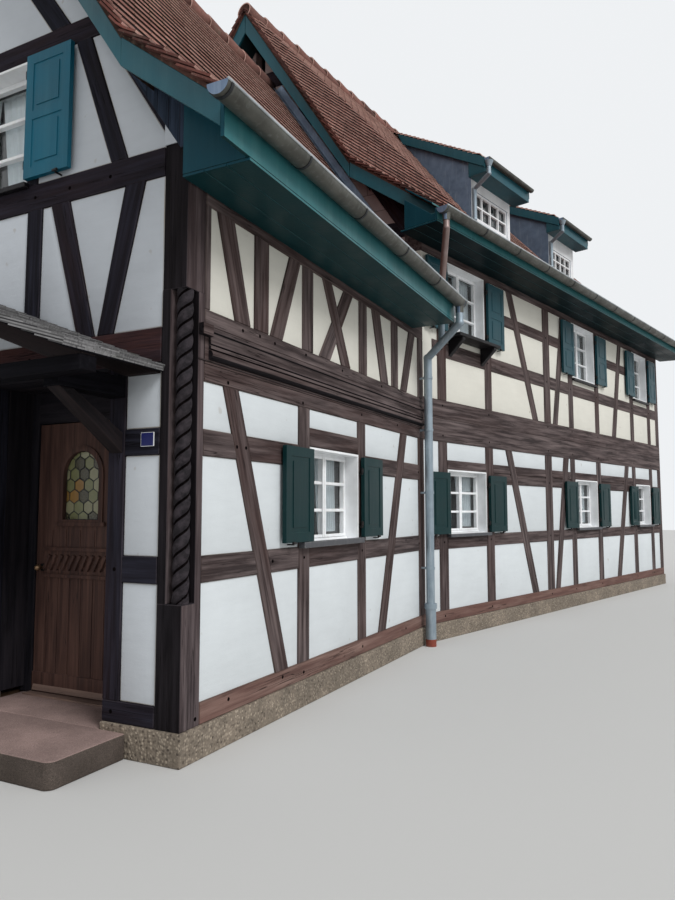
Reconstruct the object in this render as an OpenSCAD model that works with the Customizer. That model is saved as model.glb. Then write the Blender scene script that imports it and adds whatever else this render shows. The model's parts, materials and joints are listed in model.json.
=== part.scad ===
// Half timbered house of two gabled blocks that meet at a bend in the street wall.
// Millimetres. X runs along the near street wall, Y into the house, Z up from the ground.

/* [Near block] */
// Length of the near street wall, up to the bend.
side_len = 4630; // [4200:10:5400]
// Width of the near gable wall.
near_depth = 4400; // [4200:10:5000]
// Height of the near eave board's underside.
near_eave = 3790; // [3700:10:3900]
// Height of the near roof's ridge, without the ridge tiles.
near_ridge = 7600; // [7200:10:8100]
// Height at which the flared foot of the near roof ends.
near_knee = 4730; // [4680:10:4860]

/* [Far block] */
// Angle by which the far street wall turns toward the street.
bend = 14.7; // [12:0.1:17]
// Length of the far street wall.
far_len = 9300; // [9200:10:10400]
// Depth of the far block at its gable.
far_depth = 4900; // [4700:10:5300]
// Height of the far eave board's underside.
far_eave = 4980; // [4960:10:5060]
// Height of the far roof's ridge, without the ridge tiles.
far_ridge = 8725; // [8500:10:9100]
// Height at which the flared foot of the far roof ends.
far_knee = 6130; // [6100:10:6200]
// Angle by which the far ridge turns toward the street.
ridge_turn = 8.92; // [7.5:0.01:10]

/* [Walls] */
// Thickness of the outer walls.
wall_t = 220; // [180:5:260]
// Height of the stone plinth.
plinth_h = 210; // [170:5:240]
// Set back of the plaster behind the timber faces.
infill_back = 12; // [8:1:20]
// Overhang of the eaves.
eave_out = 530; // [480:10:600]
// Overhang of the near verge.
verge_out = 340; // [280:10:400]

/* [Openings] */
// Width of the doorway recess.
recess_w = 1280; // [1220:10:1340]
// Depth of the doorway recess.
recess_d = 450; // [380:10:520]
// Height of the front door leaf.
door_h = 2120; // [2040:10:2160]
// Height of a ground floor shutter.
leaf_h = 780; // [720:10:790]

/* [Hidden] */
$fn = 48;
gap = 0.4;
// Levels of the storeys.
sill_top = plinth_h + 140;
rail0 = 1125;
rail1 = 1300;
head0 = 1972;
head1 = 2150;
plate = 2480;
beam0 = 2600;
beam1 = 2867;
usill = 2980;
uplate = 3720;
post_w = 206;
// Middle line and slopes of the near roof.
yr = near_depth / 2;
knee_y = 300;
flare_n = 0.79;
main_n = (near_ridge - near_knee) / (yr - knee_y);
flare_t = 150;
main_t = 230;
function n_flare(y) = near_knee + (y - knee_y) * flare_n;
function n_main(y) = near_knee + (y - knee_y) * main_n;
eave_y = -eave_out - 15;
// The far block: street wall, rear wall and ridge as lines in plan.
turn_b = 3.14;
far_x = far_len * cos(bend);
far_verge = 290;
xg = side_len - far_verge;
xe = side_len + far_x;
knee_d = 740;
flare_f = 0.75;
far_t = 180;
ridge_y = far_depth / 2 - 5;
function y_front(x, d) = -(x - side_len) * tan(bend) + d / cos(bend);
function y_rear(x, d) = far_depth - (x - side_len) * tan(turn_b) - d / cos(turn_b);
function y_ridge(x) = ridge_y - (x - side_len) * tan(ridge_turn);
// Points of the far block's own axes, t along its street wall and n into the house.
function fp(t, n, z) = [side_len + t * cos(bend) + n * sin(bend), n * cos(bend) - t * sin(bend), z];
function nr(t) = ridge_y * cos(bend) + (t + ridge_y * sin(bend)) * tan(bend - ridge_turn);
function f_flare(n) = far_knee + (n - knee_d) * flare_f;
function f_main(t, n) = far_knee + (n - knee_d) / (nr(t) - knee_d) * (far_ridge - far_knee);

// Places children in the far block's own axes, or in those of its rear wall seen from behind.
module far() translate([side_len, 0, 0]) rotate([0, 0, -bend]) children();
module rear() translate([side_len, far_depth, 0]) rotate([0, 0, -turn_b]) mirror([0, 1, 0]) children();
// The same shape on both halves of the near block.
module both() {
    children();
    translate([0, near_depth, 0]) mirror([0, 1, 0]) children();
}
// A box between two corners.
module box(a, b) translate(a) cube(b - a);
// A drawing of a wall, turned upright along X with its outer face at y0 and a thickness t.
module upright(y0, t) translate([0, y0 + t, 0]) rotate([90, 0, 0]) linear_extrude(t) children();
// The same along Y, with its outer face at x0.
module upright_y(x0, t) translate([x0, 0, 0]) rotate([90, 0, 90]) linear_extrude(t) children();
module bar(x0, x1, z0, z1) translate([x0, z0]) square([x1 - x0, z1 - z0]);
// A leaning timber: foot left, foot right, head left, head right, widened by g on each side.
module leg(b, g, z0, z1)
    polygon([[b[0] - g, z0], [b[1] + g, z0], [b[3] + g, z1], [b[2] - g, z1]]);
function flip(b, w) = [w - b[1], w - b[0], w - b[3], w - b[2]];
function flip_all(list, w) = [for (b = list) flip(b, w)];

// Timbers of one storey: posts, leaning braces and rails, each a piece of its own.
// Holes are the openings of windows and doors [left, right, bottom, top].
module timbers(z0, z1, posts, braces, rails, holes) {
    for (p = posts) bar(p[0], p[1], z0 + gap, z1 - gap);
    difference() {
        for (b = braces) leg(b, 0, z0 + gap, z1 - gap);
        for (p = posts) bar(p[0] - gap, p[1] + gap, z0 - 1, z1 + 1);
        for (h = holes) bar(h[0] - gap, h[1] + gap, h[2] - gap, h[3] + gap);
    }
    difference() {
        for (r = rails) bar(r[0], r[1], r[2], r[3]);
        for (p = posts) bar(p[0] - gap, p[1] + gap, z0 - 1, z1 + 1);
        for (b = braces) leg(b, gap, z0, z1);
        for (h = holes) bar(h[0], h[1], h[2], h[3]);
    }
}
// Plaster panels that fill what the timbers leave.
module panels(x0, x1, z0, z1, posts, braces, rails, holes) {
    difference() {
        bar(x0, x1, z0 + gap, z1 - gap);
        for (p = posts) bar(p[0] - gap, p[1] + gap, z0 - 1, z1 + 1);
        for (b = braces) leg(b, gap, z0, z1);
        for (r = rails) bar(r[0] - 1, r[1] + 1, r[2] - gap, r[3] + gap);
        for (h = holes) {
            bar(h[0] - gap, h[1] + gap, h[2] - gap, h[3] + gap);
            if (z1 - h[3] > 1) bar(h[0] - 5, h[0] + gap, h[3], z1);
        }
    }
}

// Street wall of the near block.
n_win = [1697, 2690, rail1 + 10, head1];
ns_posts = [[1510, 1697], [2690, 2870], [side_len - 190, side_len - gap]];
ns_braces = [[1159, 1350, 431, 617], [3187, 3375, 3860, 4052]];
ns_rails = [[post_w, 1510, rail0, rail1], [post_w, 1510, head0, head1],
    [1697, 2690, rail0, rail1], [1697, 2690, head1 + 10, 2315],
    [2870, side_len - 190, rail0, rail1], [2870, side_len - 190, head0, head1]];
us_posts = [[823, 1021], [1574, 1759], [2739, 2923], [3603, 3790], [side_len - 175, side_len - gap]];
us_braces = [[568, 769, 337, 545], [1052, 1237, 1349, 1533], [2333, 2528, 1942, 2124],
    [3298, 3501, 3055, 3269], [3877, 4059, 4151, 4354]];
us_cross = [[1878, 2091, 2386, 2588]];
us_strip = 262;
module near_side_frame() color("saddlebrown") {
    upright(0, post_w) {
        bar(post_w + gap, side_len - gap, plinth_h + gap, sill_top);
        bar(post_w + gap, side_len - gap, plate, beam0 - gap);
        timbers(sill_top, plate, ns_posts, ns_braces, ns_rails, [n_win]);
        bar(post_w + gap, side_len - gap, beam1 + gap, usill);
        bar(post_w + gap, us_strip, usill + gap, uplate - gap);
        timbers(usill, uplate, us_posts, us_braces, [], []);
        difference() {
            for (b = us_cross) leg(b, 0, usill + gap, uplate - gap);
            for (b = us_braces) leg(b, gap, usill, uplate);
        }
    }
    // Wall plate, with its top along the rafters.
    upright_y(post_w + gap, side_len - post_w - 2 * gap) polygon([[0, uplate], [post_w, uplate],
        [post_w, n_flare(post_w) - flare_t - gap], [0, n_flare(0) - flare_t - gap]]);
}
module near_side_infill() color("ivory") upright(infill_back, wall_t - 40) {
    panels(post_w + gap, side_len - gap, sill_top, plate, ns_posts, ns_braces, ns_rails, [n_win]);
    panels(us_strip + gap, side_len - gap, usill, uplate, us_posts, concat(us_braces, us_cross), [], []);
}

// Gable wall of the near block. The recess for the door lies between two posts.
gd = near_depth;
rec0 = 650;
rec1 = rec0 + recess_w;
mid0 = 2590;
mid1 = 2830;
tie0 = 3885;
tie1 = 4085;
col0 = 5112;
col1 = 5285;
band = 400;
top_z = 7000;
ng_posts = [[505, rec0], [rec1, rec1 + 150], [gd - 650, gd - 505], [gd - post_w, gd - gap]];
ng_braces = [[rec1 + 480, rec1 + 660, rec1 + 900, rec1 + 1080]];
ng_rails = [for (r = [[rail0, rail1], [head0, head1]]) each [[post_w, 505, r[0], r[1]],
    [rec1 + 150, gd - post_w, r[0], r[1]]]];
ng_hole = [rec0, rec1, 0, mid0 + 1];
mg_half = [[645, 790, 379, 560], [822, 982, 1103, 1289]];
mg_posts = [[1385, 1540], [gd - 1540, gd - 1385], [gd - post_w, gd - gap]];
mg_braces = concat(mg_half, flip_all(mg_half, gd));
ag_braces = concat([[548, 698, 930, 1080]], flip_all([[548, 698, 930, 1080]], gd));
gw0 = 1560;
gw1 = gd - gw0;
g_win = [gw0, gw1, tie1 + 20, col0];
ag_posts = [[gw0 - 110, gw0], [gw1, gw1 + 110]];
tg_half = [[1152, 1343, 1152 + 1250, 1343 + 1250]];
tg_braces = concat(tg_half, flip_all(tg_half, gd));
// Outline under the near roof, let down by b below its upper slope.
module near_outline(b) polygon([[0, 0], [gd, 0], [gd, n_flare(0) - flare_t - gap],
    [gd - knee_y + 1, n_flare(knee_y - 2) - flare_t - gap], [gd - knee_y - 1, n_main(knee_y) - b],
    [yr, near_ridge - b], [knee_y + 1, n_main(knee_y) - b], [knee_y - 1, n_flare(knee_y - 2) - flare_t - gap],
    [0, n_flare(0) - flare_t - gap]]);
// Area inside the boarded band that follows the rafters.
module near_field(b) polygon([[-3000, n_main(-3000) - b], [yr, near_ridge - b],
    [gd + 3000, n_main(-3000) - b]]);
// The head of the corner post, which the gable's timbers and plaster leave free.
post_head = n_flare(11) - flare_t - 2;
module post_room() bar(-1, post_w + gap, 0, 5000);
module near_gable_frame() color("saddlebrown") upright_y(0, wall_t) intersection() {
    near_outline(main_t + 1);
    union() {
        difference() {
            bar(post_w + gap, gd, plinth_h + gap, sill_top);
            bar(rec0, rec1, 0, sill_top + 50);
        }
        timbers(sill_top, mid0, ng_posts, ng_braces, ng_rails, [ng_hole]);
        bar(post_w + gap, gd, mid0, mid1);
        timbers(mid1, tie0, mg_posts, mg_braces, [], []);
        bar(post_w + gap, gd, tie0, tie1);
        intersection() {
            near_field(band + gap);
            union() {
                timbers(tie1, col0, ag_posts, ag_braces, [], []);
                bar(0, gd, col0, col1);
                difference() {
                    for (b = tg_braces) leg(b, 0, col1 + gap, top_z);
                    bar(yr, yr + gap, 0, 9000);
                }
            }
        }
        // Boards that follow the rafters.
        difference() {
            bar(0, gd, tie1 + gap, 9000);
            post_room();
            near_field(band);
            bar(yr - gap / 2, yr + gap / 2, 0, 9000);
            for (y = [knee_y, gd - knee_y]) bar(y - 1, y + 1, 0, 9000);
        }
    }
}
module near_gable_infill() color("ivory") upright_y(infill_back, wall_t - 40) intersection() {
    near_outline(main_t + 1);
    union() {
        panels(post_w + gap, gd - gap, sill_top, mid0, ng_posts, ng_braces, ng_rails, [ng_hole]);
        panels(post_w + gap, gd - gap, mid1, tie0, mg_posts, mg_braces, [], []);
        intersection() {
            near_field(band + gap);
            difference() {
                panels(0, gd, tie1, col0, ag_posts, ag_braces, [], [g_win]);
                post_room();
            }
        }
        intersection() {
            near_field(band + gap);
            panels(0, gd, col1, top_z, [], tg_braces, [], []);
        }
    }
}

// Stone plinth under both blocks, without a floor, and broken at the doorway.
module plinth() color("tan") {
    w = wall_t + 20;
    e = side_len - 20 - gap;
    box([-20, -20, 0], [e, w, plinth_h]);
    box([-20, w + gap, 0], [w, rec0 - gap, plinth_h]);
    box([-20, rec1 + gap, 0], [w, gd - w - gap, plinth_h]);
    box([-20, gd - w, 0], [e, gd + 20, plinth_h]);
    linear_extrude(plinth_h) intersection() {
        translate([e + gap, -9000]) square([far_x + 40, 20000]);
        difference() {
            polygon([[0, y_front(0, -20)], [20000, y_front(20000, -20)],
                [20000, y_rear(20000, -20)], [0, y_rear(0, -20)]]);
            polygon([[side_len + w, y_front(side_len + w, w)], [xe - w, y_front(xe - w, w)],
                [xe - w, y_rear(xe - w, w)], [side_len + w, y_rear(side_len + w, w)]]);
            for (s = [side_len + w, xe - w]) translate([s, -9000]) square([gap, 20000]);
        }
    }
}
// Sandstone step with rounded corners, and the floor of the recess behind it.
module step_slab() color("rosybrown") {
    r = 60;
    linear_extrude(165) {
        translate([-630 + r, 420]) square([610 - r - gap, 1910]);
        translate([-630, 420 + r]) square([r + 1, 1910 - 2 * r]);
        for (y = [420 + r, 2330 - r]) translate([-630 + r, y]) circle(r = r);
    }
    box([-20, rec0 + gap, 0], [recess_d - gap, rec1 - gap, 165]);
}

// Carved corner post: a plain foot, a rope that winds up the outer corner, a plain head.
rope_z0 = 1000;
rope_z1 = 3080;
rope_c = 66;
rope_r = 64;
strands = 4;
strand_pitch = 150;
module corner_post() color("saddlebrown") {
    box([0, 0, plinth_h + gap], [200, 200, rope_z0]);
    box([11, 11, rope_z1], [post_w, post_w, post_head]);
    box([2 * rope_c, 0, rope_z0], [200, 200, rope_z1]);
    box([0, 2 * rope_c, rope_z0 + gap], [2 * rope_c - gap, 200, rope_z1]);
    translate([rope_c, rope_c, rope_z0 + gap / 2])
        linear_extrude(rope_z1 - rope_z0 - gap, slices = 90, $fn = 3,
            twist = -(rope_z1 - rope_z0) / (strands * strand_pitch) * 360)
        polygon([for (a = [0:11.25:359])
            (rope_r - 19 + 19 * abs(cos(a * strands / 2))) * [cos(a), sin(a)]]);
}
// Storey beam with a moulded face: a fillet, a hollow, a band and a roll, from a block at the corner.
module moulded_beam() color("saddlebrown") {
    box([post_w + gap, 0, beam0], [side_len - gap, post_w, beam1]);
    box([135, -44, beam1 - 80], [245, -gap, beam1 - gap]);
    upright_y(245 + gap, side_len - 60 - 245) {
        polygon([[-gap, beam1 - 160], [-gap, beam1 - 4], [-10, beam1 - 4], [-10, beam1 - 20],
            [-36, beam1 - 22], [-36, beam1 - 45], [-26, beam1 - 50], [-18, beam1 - 90],
            [-25, beam1 - 127], [-12, beam1 - 130], [-12, beam1 - 135], [-23, beam1 - 137],
            [-23, beam1 - 160]]);
        intersection() {
            translate([-6, beam1 - 200]) circle(r = 34);
            bar(-100, -gap, beam0, beam1);
        }
    }
    upright_y(135, side_len - 60 - 135) bar(-8, -gap, beam1 - 250, beam1 - 240);
}

// Roof slab pieces drawn as sections (Y, Z) and run along X.
module run(x0, x1, pts) upright_y(x0, x1 - x0) polygon(pts);
verge_x = -verge_out + 35;
lip_y = -450;
tile_t = 35;
eave_x1 = side_len - 380;
module near_roof() color("brown") {
    both() {
        run(verge_x, eave_x1, [[lip_y, n_flare(lip_y)], [-gap, n_flare(-gap)],
            [-gap, n_flare(-gap) - flare_t], [lip_y, n_flare(lip_y) - flare_t]]);
        run(verge_x, eave_x1, [[eave_y, n_flare(eave_y)], [lip_y - gap, n_flare(lip_y - gap)],
            [lip_y - gap, n_flare(lip_y - gap) - tile_t], [eave_y, n_flare(eave_y) - tile_t]]);
        run(verge_x, side_len - gap, [[0, n_flare(0)], [knee_y - gap, near_knee],
            [knee_y - gap, near_knee - flare_t], [0, n_flare(0) - flare_t]]);
        run(verge_x, side_len - gap, [[knee_y, near_knee], [yr - gap, near_ridge],
            [yr - gap, near_ridge - main_t], [knee_y, near_knee - main_t]]);
        // Verge tiles over the barge board.
        run(verge_x - 60, verge_x - gap, [[eave_y, n_flare(eave_y)], [knee_y - gap, near_knee],
            [knee_y - gap, near_knee - 35], [eave_y, n_flare(eave_y) - 35]]);
        run(verge_x - 60, verge_x - gap, [[knee_y, near_knee], [yr - gap, near_ridge],
            [yr - gap, near_ridge - 50], [knee_y, near_knee - 50]]);
    }
    // Ridge tiles, half on each slope.
    for (s = [0, 1]) translate([0, yr, near_ridge]) mirror([0, s, 0])
        upright_y(verge_x - 70, side_len - verge_x + 70 - gap) intersection() {
            translate([0, -20]) circle(r = 105);
            polygon([[gap, -main_n * gap + gap * 2], [300, -300 * main_n + gap * 2], [300, 300], [gap, 300]]);
        }
}

// Part of the far roof between four top corners in plan order.
module slab(p, t) hull() polyhedron(
    [for (k = [0, 1], q = p) [q[0], q[1], q[2] - k * t]],
    [[0, 1, 2], [0, 2, 3], [6, 5, 4], [7, 6, 4], [0, 4, 5], [0, 5, 1], [1, 5, 6], [1, 6, 2],
    [2, 6, 7], [2, 7, 3], [3, 7, 4], [3, 4, 0]]);
// Keeps what lies between the far gable's verge and the far end's verge.
module between(x0, x1) intersection() {
    children();
    box([x0, -9000, 0], [x1, 15000, 12000]);
}
far_end = xe + 250;
// Shed dormers: [cheek left, cheek right, front wall, eave, eave height, slope].
dormers = [[3000, 4380, 1000, 700, 7490, 0.589], [6300, 7550, 1120, 860, 7550, 0.51]];
back_off = 150;
function cut_n(t) = nr(t) - back_off;
// Corner of the upper slope at the far end's verge, where the slope line meets the plane of the end.
function knee_at(x) = [x, y_front(x, knee_d), far_knee];
function ridge_at(x) = [x, y_ridge(x) - gap / 2, far_ridge];
function knee_t(t) = fp(t, knee_d, far_knee);
function main_pt(t, n) = fp(t, n, f_main(t, n));
function ridge_t(t) = fp(t, nr(t) - gap / 2, far_ridge);
module far_roof() color("brown") {
    d1 = dormers[0];
    d2 = dormers[1];
    slab([knee_at(xg), ridge_at(xg), ridge_t(d1[0]), knee_t(d1[0])], far_t);
    slab([knee_t(d1[1] + gap), ridge_t(d1[1] + gap), ridge_t(d2[0] - gap), knee_t(d2[0] - gap)], far_t);
    slab([knee_t(d2[1] + gap), ridge_t(d2[1] + gap), ridge_at(far_end), knee_at(far_end)], far_t);
    for (d = dormers) {
        a = d[0] + gap;
        b = d[1];
        slab([knee_t(a), main_pt(a, d[2] - gap), main_pt(b, d[2] - gap), knee_t(b)], far_t);
        slab([main_pt(a, cut_n(a) + gap), ridge_t(a), ridge_t(b), main_pt(b, cut_n(b) + gap)], far_t);
    }
    between(xg, far_end) far() far_foot(far_len + 6000);
    between(3000, far_end) far() upright_y(far_box0, far_len + 6000) far_lip();
    // Verge tiles over the barge board, and ridge tiles.
    between(xg - 60, xg - gap) far() upright_y(-3000, 6000) far_verge_tiles();
    run(xg - 60, xg - gap, [[y_front(xg - 60, knee_d), far_knee], [y_ridge(xg) - gap, far_ridge],
        [y_ridge(xg) - gap, far_ridge - 60], [y_front(xg - 60, knee_d), far_knee - 60]]);
    for (s = [0, 1]) between(xg - 70, far_end + 20) translate([side_len, ridge_y, far_ridge])
        rotate([0, 0, -ridge_turn]) mirror([0, s, 0]) upright_y(-1500, far_x + 3000) intersection() {
            translate([0, -20]) circle(r = 105);
            polygon([[gap, gap], [300, -240], [300, 300], [gap, 300]]);
        }
}
// Flared foot of the far roof, the tiles that reach over its gutter, and those of its verge.
module far_foot(l) upright_y(-3000, l) polygon([[lip_y, f_flare(lip_y)], [knee_d - gap, far_knee],
    [knee_d - gap, far_knee - flare_t], [lip_y, f_flare(lip_y) - flare_t]]);
module far_lip() polygon([[eave_y, f_flare(eave_y)], [lip_y - gap, f_flare(lip_y - gap)],
    [lip_y - gap, f_flare(lip_y - gap) - tile_t], [eave_y, f_flare(eave_y) - tile_t]]);
module far_verge_tiles() polygon([[lip_y, f_flare(lip_y)], [knee_d - gap, far_knee],
    [knee_d - gap, far_knee - tile_t], [lip_y, f_flare(lip_y) - tile_t]]);
function rear_k(x) = [x, y_rear(x, knee_d), far_knee];
function rear_r(x) = [x, y_ridge(x) + gap / 2, far_ridge];
module far_roof_rear() color("brown") {
    xs = [for (i = [0:3]) xg + i * (far_end - xg) / 3];
    for (i = [0:2])
        slab([rear_k(xs[i] + gap), rear_r(xs[i] + gap), rear_r(xs[i + 1]), rear_k(xs[i + 1])], far_t);
    between(xg, far_end) rear() far_foot(far_x + 6000);
    between(xg - 60, far_end) rear() upright_y(-3000, far_x + 6000) far_lip();
    between(xg - 60, xg - gap) rear() upright_y(-3000, 6000) far_verge_tiles();
    run(xg - 60, xg - gap, [[y_rear(xg, knee_d), far_knee], [y_ridge(xg - 60) + gap, far_ridge - 9],
        [y_ridge(xg - 60) + gap, far_ridge - 60], [y_rear(xg, knee_d), far_knee - 60]]);
}

// Barge boards under the verge tiles, and the boards at the far end.
module verge_boards() color("teal") {
    x = -verge_out;
    foot_y = -eave_out + 28 + gap;
    both() {
        run(x, verge_x - gap, [[foot_y, n_flare(foot_y) - 35 - gap], [knee_y - gap, near_knee - 35 - gap],
            [knee_y - gap, near_knee - 235], [foot_y, 3884]]);
        run(x, verge_x - gap, [[knee_y, near_knee - 50 - gap], [yr - gap, near_ridge - 50 - gap],
            [yr - gap, near_ridge - 330], [knee_y, near_knee - 235]]);
    }
    f0 = lip_y;
    for (s = [xg, far_end + 35 + gap]) {
        // At the gable the boards lie under the verge tiles.
        top = s == xg ? 35 : 0;
        m = s == xg ? 60 : 0;
        foot = [[f0, f_flare(f0) - top - gap], [knee_d - gap, far_knee - top - gap],
            [knee_d - gap, far_knee - 235], [f0, f_flare(f0) - 215]];
        between(s - 35, s - gap) far() upright_y(-3000, far_len + 6000) polygon(foot);
        between(s - 35, s - gap) rear() upright_y(-3000, far_x + 6000) polygon(foot);
        ya = y_front(s - 60, knee_d);
        yb = y_ridge(s) - gap;
        run(s - 35, s - gap, [[ya, far_knee - m - gap], [yb, far_ridge - m - 6 - gap],
            [yb, far_ridge - 340], [ya, far_knee - 235]]);
        yc = y_rear(s, knee_d);
        yd = y_ridge(s - 35) + gap;
        run(s - 35, s - gap, [[yc, far_knee - m - gap], [yd, far_ridge - m - 6 - gap],
            [yd, far_ridge - 340], [yc, far_knee - 235]]);
    }
}

// Boxed eaves: three soffit boards and an upright fascia that starts at fx0.
// The roof's height is e + k * y.
module eave_box(z, e, k, x0, x1, fx0) {
    w = (eave_out - 2 * gap) / 3;
    for (i = [0:2]) {
        a = -eave_out + i * w;
        b = a + w - gap;
        run(x0, x1, [[a, z], [b - 7, z], [b, z + 9], [b, z + 22], [a, z + 22]]);
    }
    run(fx0, x1, [[-eave_out, z + 22 + gap], [-eave_out + 28, z + 22 + gap],
        [-eave_out + 28, e - eave_out * k - tile_t - gap], [-eave_out, e - eave_out * k - tile_t - gap]]);
}
module box_end(z, e, k, x, y1) run(x, x + 22, [[-eave_out + 28 + gap, z + 22 + gap], [y1, z + 22 + gap],
    [y1, e + y1 * k - flare_t - gap], [lip_y, e + lip_y * k - flare_t - gap],
    [-eave_out + 28 + gap, e + lip_y * k - flare_t - gap]]);
far_box0 = -450;
module eave_boxes() color("teal") {
    both() {
        eave_box(near_eave, n_flare(0), flare_n, -65, eave_x1, -verge_out);
        for (x = [-65, eave_x1 - 22]) box_end(near_eave, n_flare(0), flare_n, x, -2 * gap);
    }
    between(3000, far_end) far() {
        eave_box(far_eave, f_flare(0), flare_f, far_box0, far_len + 2000, far_box0);
        box_end(far_eave, f_flare(0), flare_f, far_box0, -60);
    }
    between(3000, xg - 62) far() run(far_box0 + 23, 600, [[lip_y, f_flare(lip_y)], [-60, f_flare(-60)],
        [-60, f_flare(-60) - 22], [lip_y, f_flare(lip_y) - 22]]);
    between(xg, far_end) rear() eave_box(far_eave, f_flare(0), flare_f, -2000, far_x + 2000, -2000);
}

// Half round gutters with end caps, brackets from the fascia, and an outlet.
module gutter(l, out) {
    r = 75;
    rotate([90, 0, 90]) linear_extrude(l) difference() {
        circle(r = r);
        circle(r = r - 3);
        translate([-r * 2, 0]) square([r * 4, r * 4]);
    }
    for (x = [-3, l - 0.1]) translate([x, 0, 0]) rotate([90, 0, 90]) linear_extrude(3.1) difference() {
        circle(r = r);
        translate([-r * 2, 0]) square([r * 4, r * 4]);
    }
    for (i = [0:round(l / 900)]) translate([30 + i * (l - 80) / round(l / 900), 0, 0]) {
        rotate([90, 0, 90]) linear_extrude(22) difference() {
            circle(r = r + 5);
            circle(r = r + 0.2);
            translate([-r * 2, 0]) square([r * 4, r * 4]);
        }
        translate([0, r + 0.2, -30]) cube([22, -eave_out - g_off - r - 0.4, 30]);
    }
    translate([out, 0, -r - 70]) cylinder(h = 97, r1 = 44, r2 = 50);
}
near_rim = near_eave + 236;
far_rim = far_eave + 150;
g_off = -eave_out - 82;
near_out = side_len - 440;
gut_x = -520;
module gutters() color("silver") {
    dormer_gutters();
    translate([gut_x, g_off, near_rim]) gutter(eave_x1 - gut_x - 2, near_out - gut_x);
    translate([gut_x, near_depth - g_off, near_rim]) mirror([0, 1, 0])
        gutter(eave_x1 - gut_x - 2, near_out - gut_x);
    far() translate([far_box0 - 20, g_off, far_rim]) gutter(far_len + 240 - far_box0, 90);
    rear() translate([-180, g_off, far_rim]) gutter(far_x + 420, 900);
}
// A round pipe from a to b.
module pipe(a, b, r) {
    v = b - a;
    l = norm(v);
    translate(a) rotate([0, acos(v[2] / l), atan2(v[1], v[0])]) cylinder(h = l, r = r);
}
px = side_len - 130;
py = -110;
module downpipe() color("silver") {
    // From the near gutter's outlet back to the wall, then down to the shoe.
    o = [near_out, g_off, near_rim - 258];
    q = [px, py, near_eave - 330];
    pipe(o, o + [0, 0, 113 - gap], 44);
    pipe(o, q, 46);
    pipe([px, py, 480], q, 50);
    translate(o) sphere(r = 48);
    translate(q) sphere(r = 53);
    // Clamps on the wall.
    for (z = [900, 1800, 2560, 3200]) {
        translate([px, py, z]) cylinder(h = 30, r = 56);
        box([px - 10, py, z + 4], [px + 10, -0.3, z + 26]);
    }
    // Clay shoe with a collar.
    translate([px, py, 0]) cylinder(h = 450, r = 62);
    translate([px, py, 440]) cylinder(h = 60, r = 74);
    // Copper length from the far gutter, joining the near pipe under the eave.
    a = fp(far_box0 + 70, g_off, far_rim - 145 - gap);
    b = [0.45 * o[0] + 0.55 * q[0], 0.45 * o[1] + 0.55 * q[1], near_rim + 140];
    c = 0.45 * o + 0.55 * q;
    pipe(a - [0, 0, 90], a, 38);
    translate(a - [0, 0, 90]) sphere(r = 42);
    pipe(a - [0, 0, 90], b, 40);
    translate(b) sphere(r = 43);
    pipe(c, b, 39);
}

// Boarded lining of the recess with the door frame at its back.
door_y0 = rec0 + 206;
door_y1 = rec1 - 88;
head_z = 182 + door_h + 8;
fx = recess_d;
module door_frame() color("saddlebrown") {
    box([wall_t + gap, rec1 + gap, plinth_h + gap], [fx - gap, rec1 + 60, mid0 - gap]);
    box([wall_t + gap, rec0 - 60, plinth_h + gap], [fx - gap, rec0 - gap, mid0 - gap]);
    for (i = [0:5]) {
        w = (fx - gap) / 6;
        box([i * w + gap, rec0 + gap, mid0 - 24], [(i + 1) * w - 3, rec1 - gap, mid0 - gap]);
    }
    box([fx, rec0 - 60, 165 + gap], [fx + 60, door_y0 - 6, mid0 - gap]);
    box([fx, door_y1 + 8, 165 + gap], [fx + 60, rec1 + 60, mid0 - gap]);
    box([fx, door_y0 - 6 + gap, head_z], [fx + 60, door_y1 + 8 - gap, mid0 - gap]);
    box([fx - 80, door_y0 - 6 + gap, 165 + gap / 2], [fx + 60, door_y1 + 8 - gap, 176]);
    // Hinge halves and pins on the frame.
    for (z = [430, 1900]) {
        box([fx + 60 - gap, door_y0 - 46, z], [fx + 64, door_y0 - 3, z + 48]);
        translate([fx + 70, door_y0 - 3, z]) cylinder(h = 48, r = 9.6);
        translate([fx + 70, door_y0 - 3, z + 47]) cylinder(h = 58, r = 7);
    }
}
dw = door_y1 - door_y0;
light_w = 380;
light_z0 = 1350;
light_z1 = 1700;
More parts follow.
